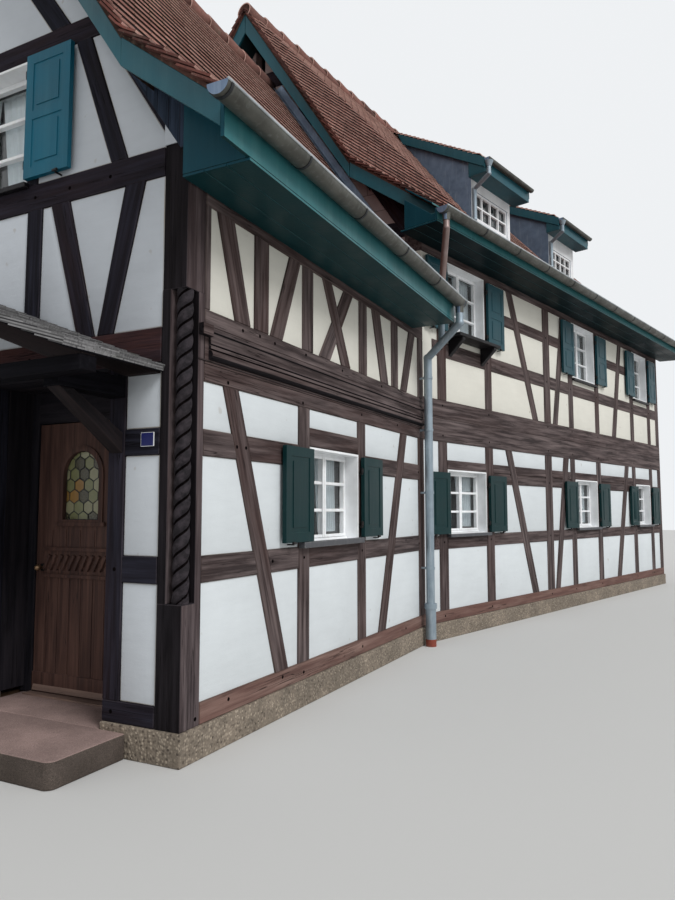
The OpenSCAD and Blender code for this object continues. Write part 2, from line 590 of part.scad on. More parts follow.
module front_door() color("brown") {
    translate([fx + 10, door_y0, 182]) {
        yc = dw / 2 + 20;
        difference() {
            cube([50, dw, door_h]);
            translate([-1, yc - light_w / 2, light_z0]) cube([60, light_w, light_z1 - light_z0]);
            translate([-1, yc, light_z1]) rotate([0, 90, 0]) cylinder(h = 60, r = light_w / 2);
            for (i = [1:7]) translate([-1, i * dw / 8 - 3, 150]) cube([6, 6, 740]);
            for (i = [-2:2]) translate([-1, yc + i * 150 - 3, 1140]) cube([6, 6, 130]);
        }
        // Bottom rail, ledges with the carved band between them, and the frame of the light.
        translate([-14, 4, 0]) cube([14.1, dw - 8, 148]);
        for (z = [895, 1105]) translate([-22, 90, z]) cube([22.1, dw - 180, 26]);
        for (i = [0:11]) translate([-11, 130 + i * (dw - 260) / 11, 1013]) rotate([28, 0, 0])
            cube([22.1, 26, 130], center = true);
        translate([-22, yc - 260, 1300]) cube([22.1, 520, 30]);
        difference() {
            union() {
                translate([-14, yc - light_w / 2 - 45, light_z0 - 20])
                    cube([14.1, light_w + 90, light_z1 - light_z0 + 20]);
                translate([-14, yc, light_z1]) rotate([0, 90, 0]) cylinder(h = 14.1, r = light_w / 2 + 45);
            }
            translate([-20, yc - light_w / 2, light_z0]) cube([60, light_w, light_z1 - light_z0]);
            translate([-20, yc, light_z1]) rotate([0, 90, 0]) cylinder(h = 60, r = light_w / 2);
        }
        // Knob on both faces.
        for (s = [0, 1]) translate([s * 50, dw - 75, 968]) mirror([1 - s, 0, 0]) rotate([0, 90, 0]) {
            translate([0, 0, -0.1]) cylinder(h = 8, r = 30);
            cylinder(h = 45, r = 11);
            translate([0, 0, 55]) sphere(r = 27);
        }
    }
    // Hinge halves that turn on the frame's pins.
    for (z = [430, 1900]) difference() {
        union() {
            box([fx + 60 - gap, door_y0 + 2, z + 54], [fx + 64, door_y0 + 60, z + 100]);
            box([fx + 60 - gap, door_y0 - 3, z + 54], [fx + 66, door_y0 + 10, z + 100]);
            translate([fx + 70, door_y0 - 3, z + 54]) cylinder(h = 46, r = 9.6);
        }
        translate([fx + 70, door_y0 - 3, z]) cylinder(h = 200, r = 7.3);
    }
}
module door_glass() color("khaki") translate([fx + 30, door_y0 + dw / 2 + 20, 182]) {
    translate([0, -light_w / 2 + gap, light_z0 + gap])
        cube([8, light_w - 2 * gap, light_z1 - light_z0 - gap]);
    translate([0, 0, light_z1]) rotate([0, 90, 0]) difference() {
        cylinder(h = 8, r = light_w / 2 - gap);
        translate([0.1, -500, -1]) cube([500, 1000, 20]);
    }
}

// Small pent roof over the door: two slopes, brackets, a front beam and side rafters.
pn = 0.385;
function porch_z(y) = 2590 + (y - 212) * pn;
module porch_roof() color("gray") both()
    run(-850, -gap, [[180, porch_z(180)], [yr - gap, porch_z(yr)],
        [yr - gap, porch_z(yr) - 62], [180, porch_z(180) - 62]]);
module porch_frame() color("saddlebrown") {
    low = mid0 - 220;
    top = mid0 - 80;
    both() {
        // Wall rafter and outer rafter on the ends of the arms.
        for (x = [-60, -690]) run(x, x < -100 ? x + 110 : -gap, [[200, top + gap],
            [(top + 180 - 2590) / pn + 212, top + gap], [yr - gap, porch_z(yr) - 180],
            [yr - gap, porch_z(yr) - 62 - gap], [200, porch_z(200) - 62 - gap]]);
        box([-570 + gap, 505, low], [-gap, 645, top]);
        // Leaning bracket under the arm.
        upright(520, 110) polygon([[-gap, 1990], [-gap, 2130], [-440, low - gap], [-560, low - gap]]);
    }
    box([-700, 200, top - 95], [-570, near_depth - 200, top]);
}

// Street wall of the far block in its own axes. Windows stand between posts.
f_win = [[540, 1535], [4620, 5600], [7690, 8560]];
fs_posts = [[340, 540], [1535, 1745], [3450, 3690], [4440, 4620], [5600, 5800], [7500, 7690],
    [8560, 8740], [far_len - 190, far_len - gap]];
fs_braces = [[2920, 3120, 2127, 2314], [3740, 3900, 4164, 4368], [6500, 6700, 7100, 7300]];
fs_rails = [[wall_t, far_len, 1114, 1279], [1745, 3450, 1974, 2106], [3690, 4440, 1974, 2106],
    [5800, 7500, 1974, 2106], [8740, far_len, 1974, 2106], [540, far_len - 560, 2130, 2250]];
l0 = 1290;
fs_holes = [for (w = f_win) [w[0], w[1], l0, 2130 - gap]];
fu0 = 3020;
fu1 = 4890;
u0 = 3920;
fu_posts = [[340, 540], [1560, 1745], [3470, 3700], [4440, 4620], [5620, 5800], [7500, 7690],
    [8560, 8740], [far_len - 190, far_len - gap]];
fu_braces = [[3050, 3230, 2230, 2420], [3790, 3960, 4170, 4340], [6450, 6650, 6900, 7080]];
fu_rails = [[wall_t, far_len, 3590, 3790], [1745, far_len - 560, 4332, 4500]];
u_win = [[540, 1560], [4620, 5620], [7690, 8560]];
fu_holes = [for (w = u_win) [w[0], w[1], u0, fu1]];
far_floor = 2780;
// The corner where the two street walls meet is cut along the near block's end.
module far_wall(y0, t) between(side_len + gap, xe - gap) far() upright(y0, t) children();
module far_side_frame() color("saddlebrown") {
    far_wall(0, wall_t) {
        bar(-500, far_len + 500, plinth_h + gap, sill_top);
        timbers(sill_top, plate, fs_posts, fs_braces, fs_rails, fs_holes);
        bar(-500, far_len + 500, plate, far_floor);
        bar(-500, far_len + 500, far_floor + gap, fu0);
        timbers(fu0, fu1, fu_posts, fu_braces, fu_rails, fu_holes);
    }
    between(side_len + gap, xe - gap) far() upright_y(-500, far_len + 1000) polygon([[0, fu1], [wall_t, fu1],
        [wall_t, f_flare(wall_t) - flare_t - gap], [0, f_flare(0) - flare_t - gap]]);
}
module far_side_infill() color("ivory") far_wall(infill_back, wall_t - 40) {
    panels(-500, far_len + 500, sill_top, plate, fs_posts, fs_braces, fs_rails, fs_holes);
    panels(-500, far_len + 500, fu0, fu1, fu_posts, fu_braces, fu_rails, fu_holes);
}

// Gable wall of the far block, square to the near street wall, and the wall at the far end.
// Outline under the far roof for a wall between x and x + wall_t, with b under its upper slopes.
function far_zf(x, y) = f_flare((y - y_front(x, 0)) * cos(bend)) - flare_t - gap;
function far_zr(x, y) = f_flare((y_rear(x, 0) - y) * cos(turn_b)) - flare_t - gap;
module far_outline(x, b) {
    x1 = x + wall_t;
    a = y_front(x, wall_t + gap);
    c = y_rear(x1, wall_t + gap);
    kc = y_rear(x, knee_d) + 1;
    fa = y_front(x1, knee_d) - 1;
    r0 = [y_ridge(x), far_ridge - b];
    r1 = [y_ridge(x1), far_ridge - b];
    m0 = (far_ridge - far_knee) / (y_ridge(x) - y_front(x, knee_d));
    m1 = (far_ridge - far_knee) / (y_rear(x1, knee_d) - y_ridge(x1));
    ym = (m0 * y_ridge(x) + m1 * y_ridge(x1)) / (m0 + m1);
    polygon([[a, 0], [c, 0], [c, far_zr(x1, c)], [kc, far_zr(x1, kc)],
        [kc, far_ridge - b - 18 - (kc - y_ridge(x1)) * m1],
        [ym, far_ridge - b - (ym - y_ridge(x1)) * m1],
        [fa, far_ridge - b - (y_ridge(x) - fa) * m0], [fa, far_zf(x, fa)], [a, far_zf(x, a)]]);
}
// Inside of the boarded band that follows the rafters of the far gable.
module far_field(b) {
    m = (far_ridge - far_knee) / (ridge_y - knee_d / cos(bend));
    polygon([[ridge_y - 5000, far_ridge - b - 5000 * m], [ridge_y, far_ridge - b],
        [ridge_y + 5000, far_ridge - b - 5000 * m]]);
}
fband = 190;
pass_z = 2250;
pass = [1900, 2800, plinth_h, pass_z];
fg_rails = [[0, 9000, 5110, 5315], [0, 9000, 6240, 6400], [0, 9000, 6950, 7250], [0, 9000, 7680, 7920]];
fg_posts = [[ridge_y - 80, ridge_y + 80]];
fg_half = [[900, 1080, 1500, 1680]];
fg_braces = concat(fg_half, flip_all(fg_half, far_depth));
module far_gable_frame() color("saddlebrown") upright_y(side_len + gap, wall_t - gap) intersection() {
    far_outline(side_len, far_t + 50);
    union() {
        intersection() {
            far_field(fband + gap);
            union() {
                bar(0, 9000, 5110, 5315);
                timbers(5315, 6240, fg_posts, fg_braces, [], []);
                bar(0, 9000, 6240, 6400);
                timbers(6400, 6950, fg_posts, [], [], []);
                bar(0, 9000, 6950, 7250);
                timbers(7250, 7680, fg_posts, [], [], []);
                bar(0, 9000, 7680, 7920);
            }
        }
        difference() {
            bar(0, 9000, 5000, 9000);
            far_field(fband);
            bar(ridge_y - 18, ridge_y - 17, 0, 9000);
            for (y = [y_front(side_len + wall_t, knee_d), y_rear(side_len, knee_d)])
                bar(y - 2, y + 2, 0, 9000);
        }
        // Lintel over the passage between the two blocks.
        bar(pass[0] - 150, pass[1] + 150, pass_z, pass_z + 180);
    }
}
module far_gable_infill() color("ivory") {
    upright_y(side_len + infill_back, wall_t - 40) intersection() {
        far_outline(side_len, far_t + 50);
        union() {
            difference() {
                bar(0, 9000, plinth_h + gap, 5000 - gap);
                bar(pass[0], pass[1], 0, pass_z);
                bar(pass[0] - 151, pass[1] + 151, pass_z - gap, pass_z + 181);
                for (y = pass) bar(y - gap, y, 0, 3000);
                bar(0, 9000, 3000 - gap, 3000);
            }
            intersection() {
                far_field(fband + gap);
                union() {
                    bar(0, 9000, 5000, 5110 - gap);
                    panels(0, 9000, 5315, 6240, fg_posts, fg_braces, [], []);
                    panels(0, 9000, 6400, 6950, fg_posts, [], [], []);
                    panels(0, 9000, 7250, 7680, fg_posts, [], [], []);
                    panels(0, 9000, 7920, 8600, fg_posts, [], [], []);
                }
            }
        }
    }
    // Party wall at the far end.
    upright_y(xe - wall_t, wall_t) intersection() {
        far_outline(xe - wall_t, far_t + 60);
        difference() {
            bar(-9000, 9000, plinth_h + gap, 9000);
            bar(y_ridge(xe) - gap, y_ridge(xe), 0, 9000);
            bar(-9000, 9000, 5000 - gap, 5000);
            for (y = [y_front(xe, knee_d), y_rear(xe - wall_t, knee_d)]) bar(y - 3, y + 3, 5000, 9000);
        }
    }
}

// Rear walls, framed with plain posts and rails.
function steps(a, b, n) = [for (i = [0:n]) a + i * (b - a) / n];
rn_posts = [for (x = steps(0, side_len - 180, 4)) [x, x + 180 - gap]];
rf_len = far_x / cos(turn_b);
rf_posts = [for (x = steps(0, rf_len - 190, 7)) [x, x + 180]];
r_rails = [[0, 20000, rail0, rail1], [0, 20000, head0, head1]];
module rear_near(y0, t) translate([0, near_depth, 0]) mirror([0, 1, 0]) upright(y0, t) children();
module rear_far(y0, t) between(side_len + wall_t + gap, xe - wall_t - gap) rear() upright(y0, t) children();
module rear_frame() color("saddlebrown") {
    rear_near(0, wall_t) {
        bar(wall_t + gap, side_len - gap, plinth_h + gap, sill_top);
        bar(wall_t + gap, side_len - gap, plate, usill);
        intersection() {
            bar(wall_t + gap, side_len - gap, 0, 9000);
            union() {
                timbers(sill_top, plate, rn_posts, [], r_rails, []);
                timbers(usill, uplate, rn_posts, [], [], []);
            }
        }
    }
    translate([0, near_depth, 0]) mirror([0, 1, 0])
        run(wall_t + gap, side_len - gap, [[0, uplate], [wall_t, uplate],
            [wall_t, n_flare(wall_t) - flare_t - gap], [0, n_flare(0) - flare_t - gap]]);
    rear_far(0, wall_t) {
        bar(-500, 20000, plinth_h + gap, sill_top);
        timbers(sill_top, plate, rf_posts, [], r_rails, []);
        bar(-500, 20000, plate, fu0);
        timbers(fu0, fu1, rf_posts, [], [[-500, 20000, 3590, 3790]], []);
    }
    between(side_len + wall_t + gap, xe - wall_t - gap) rear() upright_y(-500, far_x + 1000)
        polygon([[0, fu1], [wall_t, fu1], [wall_t, f_flare(wall_t) - flare_t - gap],
            [0, f_flare(0) - flare_t - gap]]);
}
module rear_infill() color("ivory") {
    rear_near(infill_back, wall_t - 40) {
        panels(wall_t + gap, side_len - gap, sill_top, plate, rn_posts, [], r_rails, []);
        panels(wall_t + gap, side_len - gap, usill, uplate, rn_posts, [], [], []);
    }
    rear_far(infill_back, wall_t - 40) {
        panels(-500, 20000, sill_top, plate, rf_posts, [], r_rails, []);
        panels(-500, 20000, fu0, fu1, rf_posts, [], [[-500, 20000, 3590, 3790]], []);
    }
}
module floors() color("burlywood") {
    w = wall_t + 20 + gap;
    e = side_len - 20 - 2 * gap;
    // The near ground floor lies just under the foot of the door.
    box([fx + 61, w, 70], [e, gd - w, 172]);
    box([w, w, 70], [fx + 60, rec0 - 61, 172]);
    box([w, rec1 + 61, 70], [fx + 60, gd - w, 172]);
    v = wall_t + gap;
    box([v, v, mid0 + gap], [side_len - gap, gd - v, mid0 + 110]);
    for (z = [100, far_floor - 100, fu1 - gap]) {
        d = z < 200 ? w : v;
        translate([0, 0, z]) linear_extrude(z < 200 ? plinth_h - gap - z : 100) polygon([
            [side_len + d, y_front(side_len + d, d)], [xe - d, y_front(xe - d, d)],
            [xe - d, y_rear(xe - d, d)], [side_len + d, y_rear(side_len + d, d)]]);
    }
}

// Shed dormers on the far street slope: a front with a window, two cheeks and a flat roof.
function d_roof(d, n) = d[4] + (n - d[3]) * d[5];
d_t = 110;
d_win = [[60, 110, 6570, 7070], [100, 150, 6620, 7030]];
module dormer_walls() color("slategray") far() for (i = [0, 1]) {
    d = dormers[i];
    w = d_win[i];
    foot = f_main(d[1], d[2]) - far_t;
    top = d_roof(d, d[2]) - d_t - gap;
    // Front wall around the window.
    upright(d[2], 60) {
        bar(d[0] + 60 + gap, d[1] - 60 - gap, foot, w[2] - gap);
        bar(d[0] + 60 + gap, d[1] - 60 - gap, w[3] + gap, top);
        for (x = [[d[0] + 60 + gap, d[0] + w[0] + gap], [d[1] - w[1], d[1] - 60 - gap]])
            if (x[1] - x[0] > 5) bar(x[0], x[1], w[2], w[3]);
    }
    // Cheeks.
    for (x = [d[0] + 2 * gap, d[1] - 60]) {
        n = cut_n(d[0]) - 30;
        upright_y(x, 60 - 2 * gap) polygon([[d[2], foot], [d[2], top], [n, d_roof(d, n) - d_t - gap],
            [n, max(foot, f_main(d[1], n) - far_t)]]);
    }
}
module dormer_roofs() color("brown") far() for (i = [0, 1]) {
    d = dormers[i];
    difference() {
        upright_y(d[0] + gap, d[1] - d[0] - 2 * gap) polygon([[d[3], d_roof(d, d[3])],
            [3400, d_roof(d, 3400)], [3400, d_roof(d, 3400) - d_t], [d[3], d_roof(d, d[3]) - d_t]]);
        linear_extrude(12000) polygon([[0, cut_n(0)], [9000, cut_n(9000)], [9000, 9000], [0, 9000]]);
    }
    // The strips that reach over the cheeks, above the main slope.
    for (x = [[d[0] - 90, d[0]], [d[1], d[1] + 140]]) {
        t = x[0] < d[0] ? d[0] : d[1] + 140;
        s = (far_ridge - far_knee) / (nr(x[0]) - knee_d);
        n0 = (d[4] - d[3] * d[5] - 75 - far_knee + knee_d * s) / (s - d[5]) - 30;
        n1 = min(n0, nr(x[0]) - 130);
        upright_y(x[0], x[1] - x[0]) polygon([[d[3], d_roof(d, d[3])], [n1, d_roof(d, n1)],
            [n1, d_roof(d, n1) - 40], [d[3], d_roof(d, d[3]) - 40]]);
    }
}
// Painted boards of the dormers: verge boards, fascia and soffit, then gutters with a pipe.
module dormer_boards() color("teal") far() for (i = [0, 1]) {
    d = dormers[i];
    z = d_roof(d, d[3]) - d_t;
    x0 = d[0] - 90;
    x1 = d[1] + 140;
    for (x = [x0 - 22, x1 + gap]) {
        s = (far_ridge - far_knee) / (nr(x) - knee_d);
        n1 = (d[4] - d[3] * d[5] - 190 - far_knee + knee_d * s) / (s - d[5]) - 40;
        n0 = d[3] - 20;
        upright_y(x, 22 - gap) polygon([[n0, d_roof(d, n0) + 5], [n1 + 100, d_roof(d, n1 + 100) + 5],
            [n1, d_roof(d, n1) - 165], [n0, d_roof(d, n0) - 165]]);
    }
    upright(d[3] - 20, 20 - gap) bar(x0 + gap, x1 - gap, z - 140, z + 60);
    upright(d[3], d[2] - d[3] - gap) bar(x0 + gap, x1 - gap, z - 140, z - 120);
    upright_y(x0 + gap, 20) polygon([[d[3], z - 119], [d[2] - gap, z - 119],
        [d[2] - gap, d_roof(d, d[2]) - 42], [d[3], d_roof(d, d[3]) - 42]]);
}
module dormer_gutters() far() for (d = dormers) {
    z = d[4] - 30;
    x0 = d[0] - 110;
    translate([x0, d[3] - 70.2, z]) {
        rotate([90, 0, 90]) linear_extrude(d[1] - d[0] + 260) difference() {
            circle(r = 50);
            circle(r = 47);
            translate([-100, 0]) square([200, 200]);
        }
        for (x = [-3, d[1] - d[0] + 259.9]) translate([x, 0, 0]) rotate([90, 0, 90])
            linear_extrude(3.1) difference() {
                circle(r = 50);
                translate([-100, 0]) square([200, 200]);
            }
        translate([60, 0, -260]) cylinder(h = 224, r1 = 24, r2 = 30);
    }
    // Elbow pipe back to the front wall and down onto the roof.
    a = [x0 + 60, d[3] - 70.2, z - 260];
    b = [x0 + 150, d[2] - 40, z - 400];
    e = [b[0], b[1], f_main(d[0], d[2]) + 60];
    pipe(a, b, 25);
    for (c = [a, b]) translate(c) sphere(r = 28);
    pipe(e, b, 26);
}

// A window: outer frame, middle post and cross bars, cut from a plate.
module sash(x0, x1, z0, z1, w, nx, nz) difference() {
    bar(x0 + gap, x1 - gap, z0 + gap, z1 - gap);
    for (i = [0:nx - 1], j = [0:nz - 1]) {
        dx = (x1 - x0 - 2 * w + 30) / nx;
        dz = (z1 - z0 - 2 * w + 30) / nz;
        bar(x0 + w + i * dx, x0 + w + (i + 1) * dx - 30, z0 + w + j * dz, z0 + w + (j + 1) * dz - 30);
    }
}
back_n = 130;
module ground_windows() color("white") {
    upright(back_n, 50) sash(n_win[0], n_win[1], n_win[2], n_win[3], 60, 2, 3);
    far() upright(back_n, 50) for (w = f_win) sash(w[0], w[1], l0, 2130, 60, 2, 3);
}
module upper_windows() color("white") {
    upright_y(back_n, 50) sash(g_win[0], g_win[1], g_win[2], g_win[3], 60, 2, 3);
    far() upright(back_n, 50) for (w = u_win) sash(w[0], w[1], u0, fu1, 55, 2, 3);
    far() for (i = [0, 1]) {
        d = dormers[i];
        w = d_win[i];
        upright(d[2] + 8, 45) sash(d[0] + w[0] + gap, d[1] - w[1] - gap, w[2], w[3], 45, 4, 2);
    }
}
module ground_glass() color("lightblue") {
    upright(back_n + 50 + gap, 8) bar(n_win[0] + 1, n_win[1] - 1, n_win[2] + 1, n_win[3] - 1);
    far() upright(back_n + 50 + gap, 8) for (w = f_win) bar(w[0] + 1, w[1] - 1, l0 + 1, 2129);
}
module upper_glass() color("lightblue") {
    upright_y(back_n + 50 + gap, 8) bar(g_win[0] + 1, g_win[1] - 1, g_win[2] + 1, g_win[3] - 1);
    far() upright(back_n + 50 + gap, 8) for (w = u_win) bar(w[0] + 1, w[1] - 1, u0 + 1, fu1 - 1);
    far() for (i = [0, 1]) {
        d = dormers[i];
        w = d_win[i];
        upright(d[2] + 53 + gap, 6) bar(d[0] + w[0] + 1, d[1] - w[1] - 1, w[2] + 1, w[3] - 1);
    }
}
// Dark sill boards, a wooden ledge under one upper window, and shallow sills elsewhere.
module sill_boards() color("dimgray") {
    upright(-62, 62 - gap) bar(n_win[0] - 190, n_win[1] + 20, n_win[2] - 20, n_win[2] + 30);
    far() {
        upright(-62, 62 - gap) for (w = f_win) bar(w[0] - 30, w[1] + 30, l0 - 30, l0 + 10);
        upright(-50, 50 - gap) for (w = u_win) bar(w[0] - 30, w[1] + 30, u0 - 62, u0 - 22);
        for (x = [u_win[0][0] + 60, u_win[0][1] - 130]) upright_y(x, 70)
            polygon([[-gap, u0 - 62.3], [-220, u0 - 62.3], [-220, u0 - 100], [-gap, u0 - 300]]);
        upright(-240, 189.7) bar(u_win[0][0] - 30, u_win[0][1] + 30, u0 - 62, u0 - 22);
    }
    upright_y(-50, 50 - gap) bar(g_win[0] - 30, g_win[1] + 30, g_win[2] - 40, g_win[2]);
}

// Window shutters. A leaf hangs on two pins that stand before the wall; it opens to lie beside
// the window. The hinge line is at x = 0, and the leaf lies toward +x when s is 1.
pin_y = -39;
pin_r = 6;
knuckle = 40;
leaf_w = 462;
edge = 16;
function hinge_z(h) = [110, h - 150];
module leaf(s, h, panes, w = leaf_w) mirror([s < 0 ? 1 : 0, 0, 0]) translate([0, pin_y, 0]) difference() {
    union() {
        translate([edge, -19, 0]) cube([w, 38, h]);
        for (z = hinge_z(h)) {
            translate([0, 0, z]) cylinder(h = knuckle, r = 11);
            translate([0, -11, z]) cube([edge + 0.2, 8, knuckle]);
            translate([edge, 18.8, z + 6]) cube([w * 0.55, 3.2, 26]);
        }
    }
    for (z = hinge_z(h)) translate([0, 0, z - 1]) cylinder(h = knuckle + 2, r = pin_r + 0.05);
    // Raised fields within sunk grooves, on both faces.
    dz = (h - 90) / panes;
    for (y = [-20, 13], i = [0:panes - 1]) translate([edge, y, 0]) difference() {
        translate([75, 0, 80 + i * dz]) cube([w - 150, 7, dz - 70]);
        translate([115, -1, 120 + i * dz]) cube([w - 230, 9, dz - 150]);
    }
}
// Pins for one leaf, on arms that reach the timber of the wall.
module pins(h) for (z = hinge_z(h)) {
    box([-6, pin_y, z - 20], [6, -0.2, z - 6]);
    translate([0, pin_y, z - 20]) cylinder(h = 15, r = 10);
    translate([0, pin_y, z - 6]) cylinder(h = knuckle + 14, r = pin_r);
}
leaf_z = n_win[2] + 34;
low_z = l0 + 14;
up_z = u0 + 10;
up_h = fu1 - u0 - 60;
gl_z = g_win[2] + 10;
gl_h = 985;
module gable_side() rotate([0, 0, 90]) mirror([0, 1, 0]) children();
module hinge_pins() color("black") {
    for (x = [n_win[0] - 10, n_win[1] + 10]) translate([x, 0, leaf_z]) pins(leaf_h);
    gable_side() for (y = [gw0 - 10, gw1 + 10]) translate([y, 0, gl_z]) pins(gl_h);
    far() for (w = f_win, x = [w[0] - 10, w[1] + 10]) translate([x, 0, low_z]) pins(leaf_h);
    far() for (w = u_win, x = [w[0] - 10, w[1] + 10]) translate([x, 0, up_z]) pins(up_h);
}
module near_shutter_left() color("darkgreen") translate([n_win[0] - 10, 0, leaf_z]) leaf(-1, leaf_h, 1);
module near_shutter_right() color("darkgreen") translate([n_win[1] + 10, 0, leaf_z]) leaf(1, leaf_h, 1);
module gable_shutter_left() color("teal") gable_side() translate([gw1 + 10, 0, gl_z]) leaf(1, gl_h, 2);
module gable_shutter_right() color("teal") gable_side() translate([gw0 - 10, 0, gl_z]) leaf(-1, gl_h, 2);
// Leaves of a narrow window are narrower, so that both close side by side.
module far_leaf(w, s, z, h, n) far() translate([s < 0 ? w[0] - 10 : w[1] + 10, 0, z])
    leaf(s, h, n, min(leaf_w, (w[1] - w[0]) / 2 + 10 - edge - 5));
module lower_leaf(i, s) color("darkgreen") far_leaf(f_win[i], s, low_z, leaf_h, 1);
module upper_leaf(i, s) color("teal") far_leaf(u_win[i], s, up_z, up_h, 2);
module lower_shutter_1() lower_leaf(0, -1);
module lower_shutter_2() lower_leaf(0, 1);
module lower_shutter_3() lower_leaf(1, -1);
module lower_shutter_4() lower_leaf(1, 1);
module lower_shutter_5() lower_leaf(2, -1);
module lower_shutter_6() lower_leaf(2, 1);
module upper_shutter_1() upper_leaf(0, -1);
module upper_shutter_2() upper_leaf(0, 1);
module upper_shutter_3() upper_leaf(1, -1);
module upper_shutter_4() upper_leaf(1, 1);
module upper_shutter_5() upper_leaf(2, -1);
module upper_shutter_6() upper_leaf(2, 1);

plinth();
step_slab();
corner_post();
near_side_frame();
near_side_infill();
near_gable_frame();
near_gable_infill();
moulded_beam();
near_roof();
far_roof();
far_roof_rear();
verge_boards();
eave_boxes();
gutters();
downpipe();
door_frame();
front_door();
door_glass();
porch_roof();
porch_frame();
far_side_frame();
far_side_infill();
far_gable_frame();
far_gable_infill();
rear_frame();
rear_infill();
floors();
dormer_walls();
dormer_roofs();
dormer_boards();
ground_windows();
upper_windows();
ground_glass();
upper_glass();
sill_boards();
hinge_pins();
near_shutter_left();
near_shutter_right();
gable_shutter_left();
gable_shutter_right();
lower_shutter_1();
lower_shutter_2();
lower_shutter_3();
lower_shutter_4();
lower_shutter_5();
lower_shutter_6();
upper_shutter_1();
upper_shutter_2();
upper_shutter_3();
upper_shutter_4();
upper_shutter_5();
upper_shutter_6();
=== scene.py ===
import json
import math
import random

import bmesh
import bpy
from mathutils import Matrix, Vector
from mathutils.bvhtree import BVHTree


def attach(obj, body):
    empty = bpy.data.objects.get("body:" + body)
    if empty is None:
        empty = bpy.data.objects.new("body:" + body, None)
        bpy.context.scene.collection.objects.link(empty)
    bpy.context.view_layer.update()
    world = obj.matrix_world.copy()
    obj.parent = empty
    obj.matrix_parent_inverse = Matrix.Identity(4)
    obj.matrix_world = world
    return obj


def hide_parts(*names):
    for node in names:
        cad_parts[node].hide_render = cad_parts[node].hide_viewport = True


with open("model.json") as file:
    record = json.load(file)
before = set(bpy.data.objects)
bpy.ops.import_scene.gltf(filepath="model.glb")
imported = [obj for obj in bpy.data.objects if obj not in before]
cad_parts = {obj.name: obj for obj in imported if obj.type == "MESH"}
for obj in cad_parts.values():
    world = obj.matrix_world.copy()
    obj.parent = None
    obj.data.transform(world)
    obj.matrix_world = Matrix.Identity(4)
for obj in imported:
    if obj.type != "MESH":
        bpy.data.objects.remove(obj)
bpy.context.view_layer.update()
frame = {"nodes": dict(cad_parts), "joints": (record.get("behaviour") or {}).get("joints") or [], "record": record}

nodes = frame["nodes"]

# Plinth and step.
# The plinth is washed concrete with river gravel left bare, cast against the wall foot.
# The step is one reddish sandstone slab with a worn, rounded edge, laid before the doorway.


def shade(code):
    """A colour from its six hex digits, as a screen shows it."""
    levels = [int(code[k:k + 2], 16) for k in (0, 2, 4)]
    return (*(c / 3294.6 if c <= 10 else ((c / 255 + 0.055) / 1.055) ** 2.4 for c in levels), 1.0)


def put(tree, kind, wires=None, **settings):
    """Adds a shader node, sets it, and wires or fills its inputs."""
    node = tree.nodes.new("ShaderNode" + kind)
    for key, value in settings.items():
        setattr(node, key, value)
    for key, value in (wires or {}).items():
        if isinstance(value, bpy.types.Node):
            value = value.outputs[0]
        if isinstance(value, bpy.types.NodeSocket):
            tree.links.new(value, node.inputs[key])
        else:
            node.inputs[key].default_value = shade(value) if isinstance(value, str) else value
    return node


def sums(tree, operation, a, b=0.0, clamp=False):
    return put(tree, "Math", {0: a, 1: b}, operation=operation, use_clamp=clamp).outputs[0]


def times(tree, a, b):
    return sums(tree, "MULTIPLY", a, b)


def blended(tree, amount, a, b, blend="MIX"):
    return put(tree, "Mix", {0: amount, 6: a, 7: b}, data_type="RGBA", blend_type=blend).outputs[2]


def tinted(tree, colour, by, amount=1.0):
    return blended(tree, amount, colour, by, "MULTIPLY")


def ramped(tree, value, start, low, stop, high):
    """A value remapped: low up to start, high from stop on."""
    node = put(tree, "ValToRGB", {0: value})
    for mark, at, level in zip(node.color_ramp.elements, (start, stop), (low, high)):
        mark.position, mark.color = at, (level, level, level, 1)
    return node.outputs[0]


def clouds(tree, vector, scale, detail=4.0, rough=0.55):
    """Cloudy noise, stretched where the scale has a number for each axis."""
    if isinstance(scale, tuple):
        vector = put(tree, "VectorMath", {0: vector, 1: scale}, operation="MULTIPLY").outputs[0]
        scale = 1.0
    wires = {"Vector": vector, "Scale": scale, "Detail": detail, "Roughness": rough}
    return put(tree, "TexNoise", wires).outputs[0]


def effect(name, build, **inputs):
    """A shader group that lays a pattern on a vector and puts out a colour, a roughness and a height."""
    tree = bpy.data.node_groups.new(name, "ShaderNodeTree")
    kinds = {float: "Float", str: "Color", tuple: "Vector"}
    for label, start in {"Vector": (0.0, 0.0, 0.0), **inputs}.items():
        kind = "NodeSocket" + kinds[type(start)]
        socket = tree.interface.new_socket(label, in_out="INPUT", socket_type=kind)
        socket.default_value = shade(start) if isinstance(start, str) else start
    results = {"Color": "Color", "Roughness": "Float", "Height": "Float"}
    for label, kind in results.items():
        tree.interface.new_socket(label, in_out="OUTPUT", socket_type="NodeSocket" + kind)
    source, sink = tree.nodes.new("NodeGroupInput"), tree.nodes.new("NodeGroupOutput")
    for label, value in zip(results, build(tree, source.outputs)):
        tree.links.new(value, sink.inputs[label])
    return tree


def blank(name):
    """A new material with nothing in its tree."""
    material = bpy.data.materials.new(name)
    material.use_nodes = True
    material.node_tree.nodes.clear()
    return material, material.node_tree


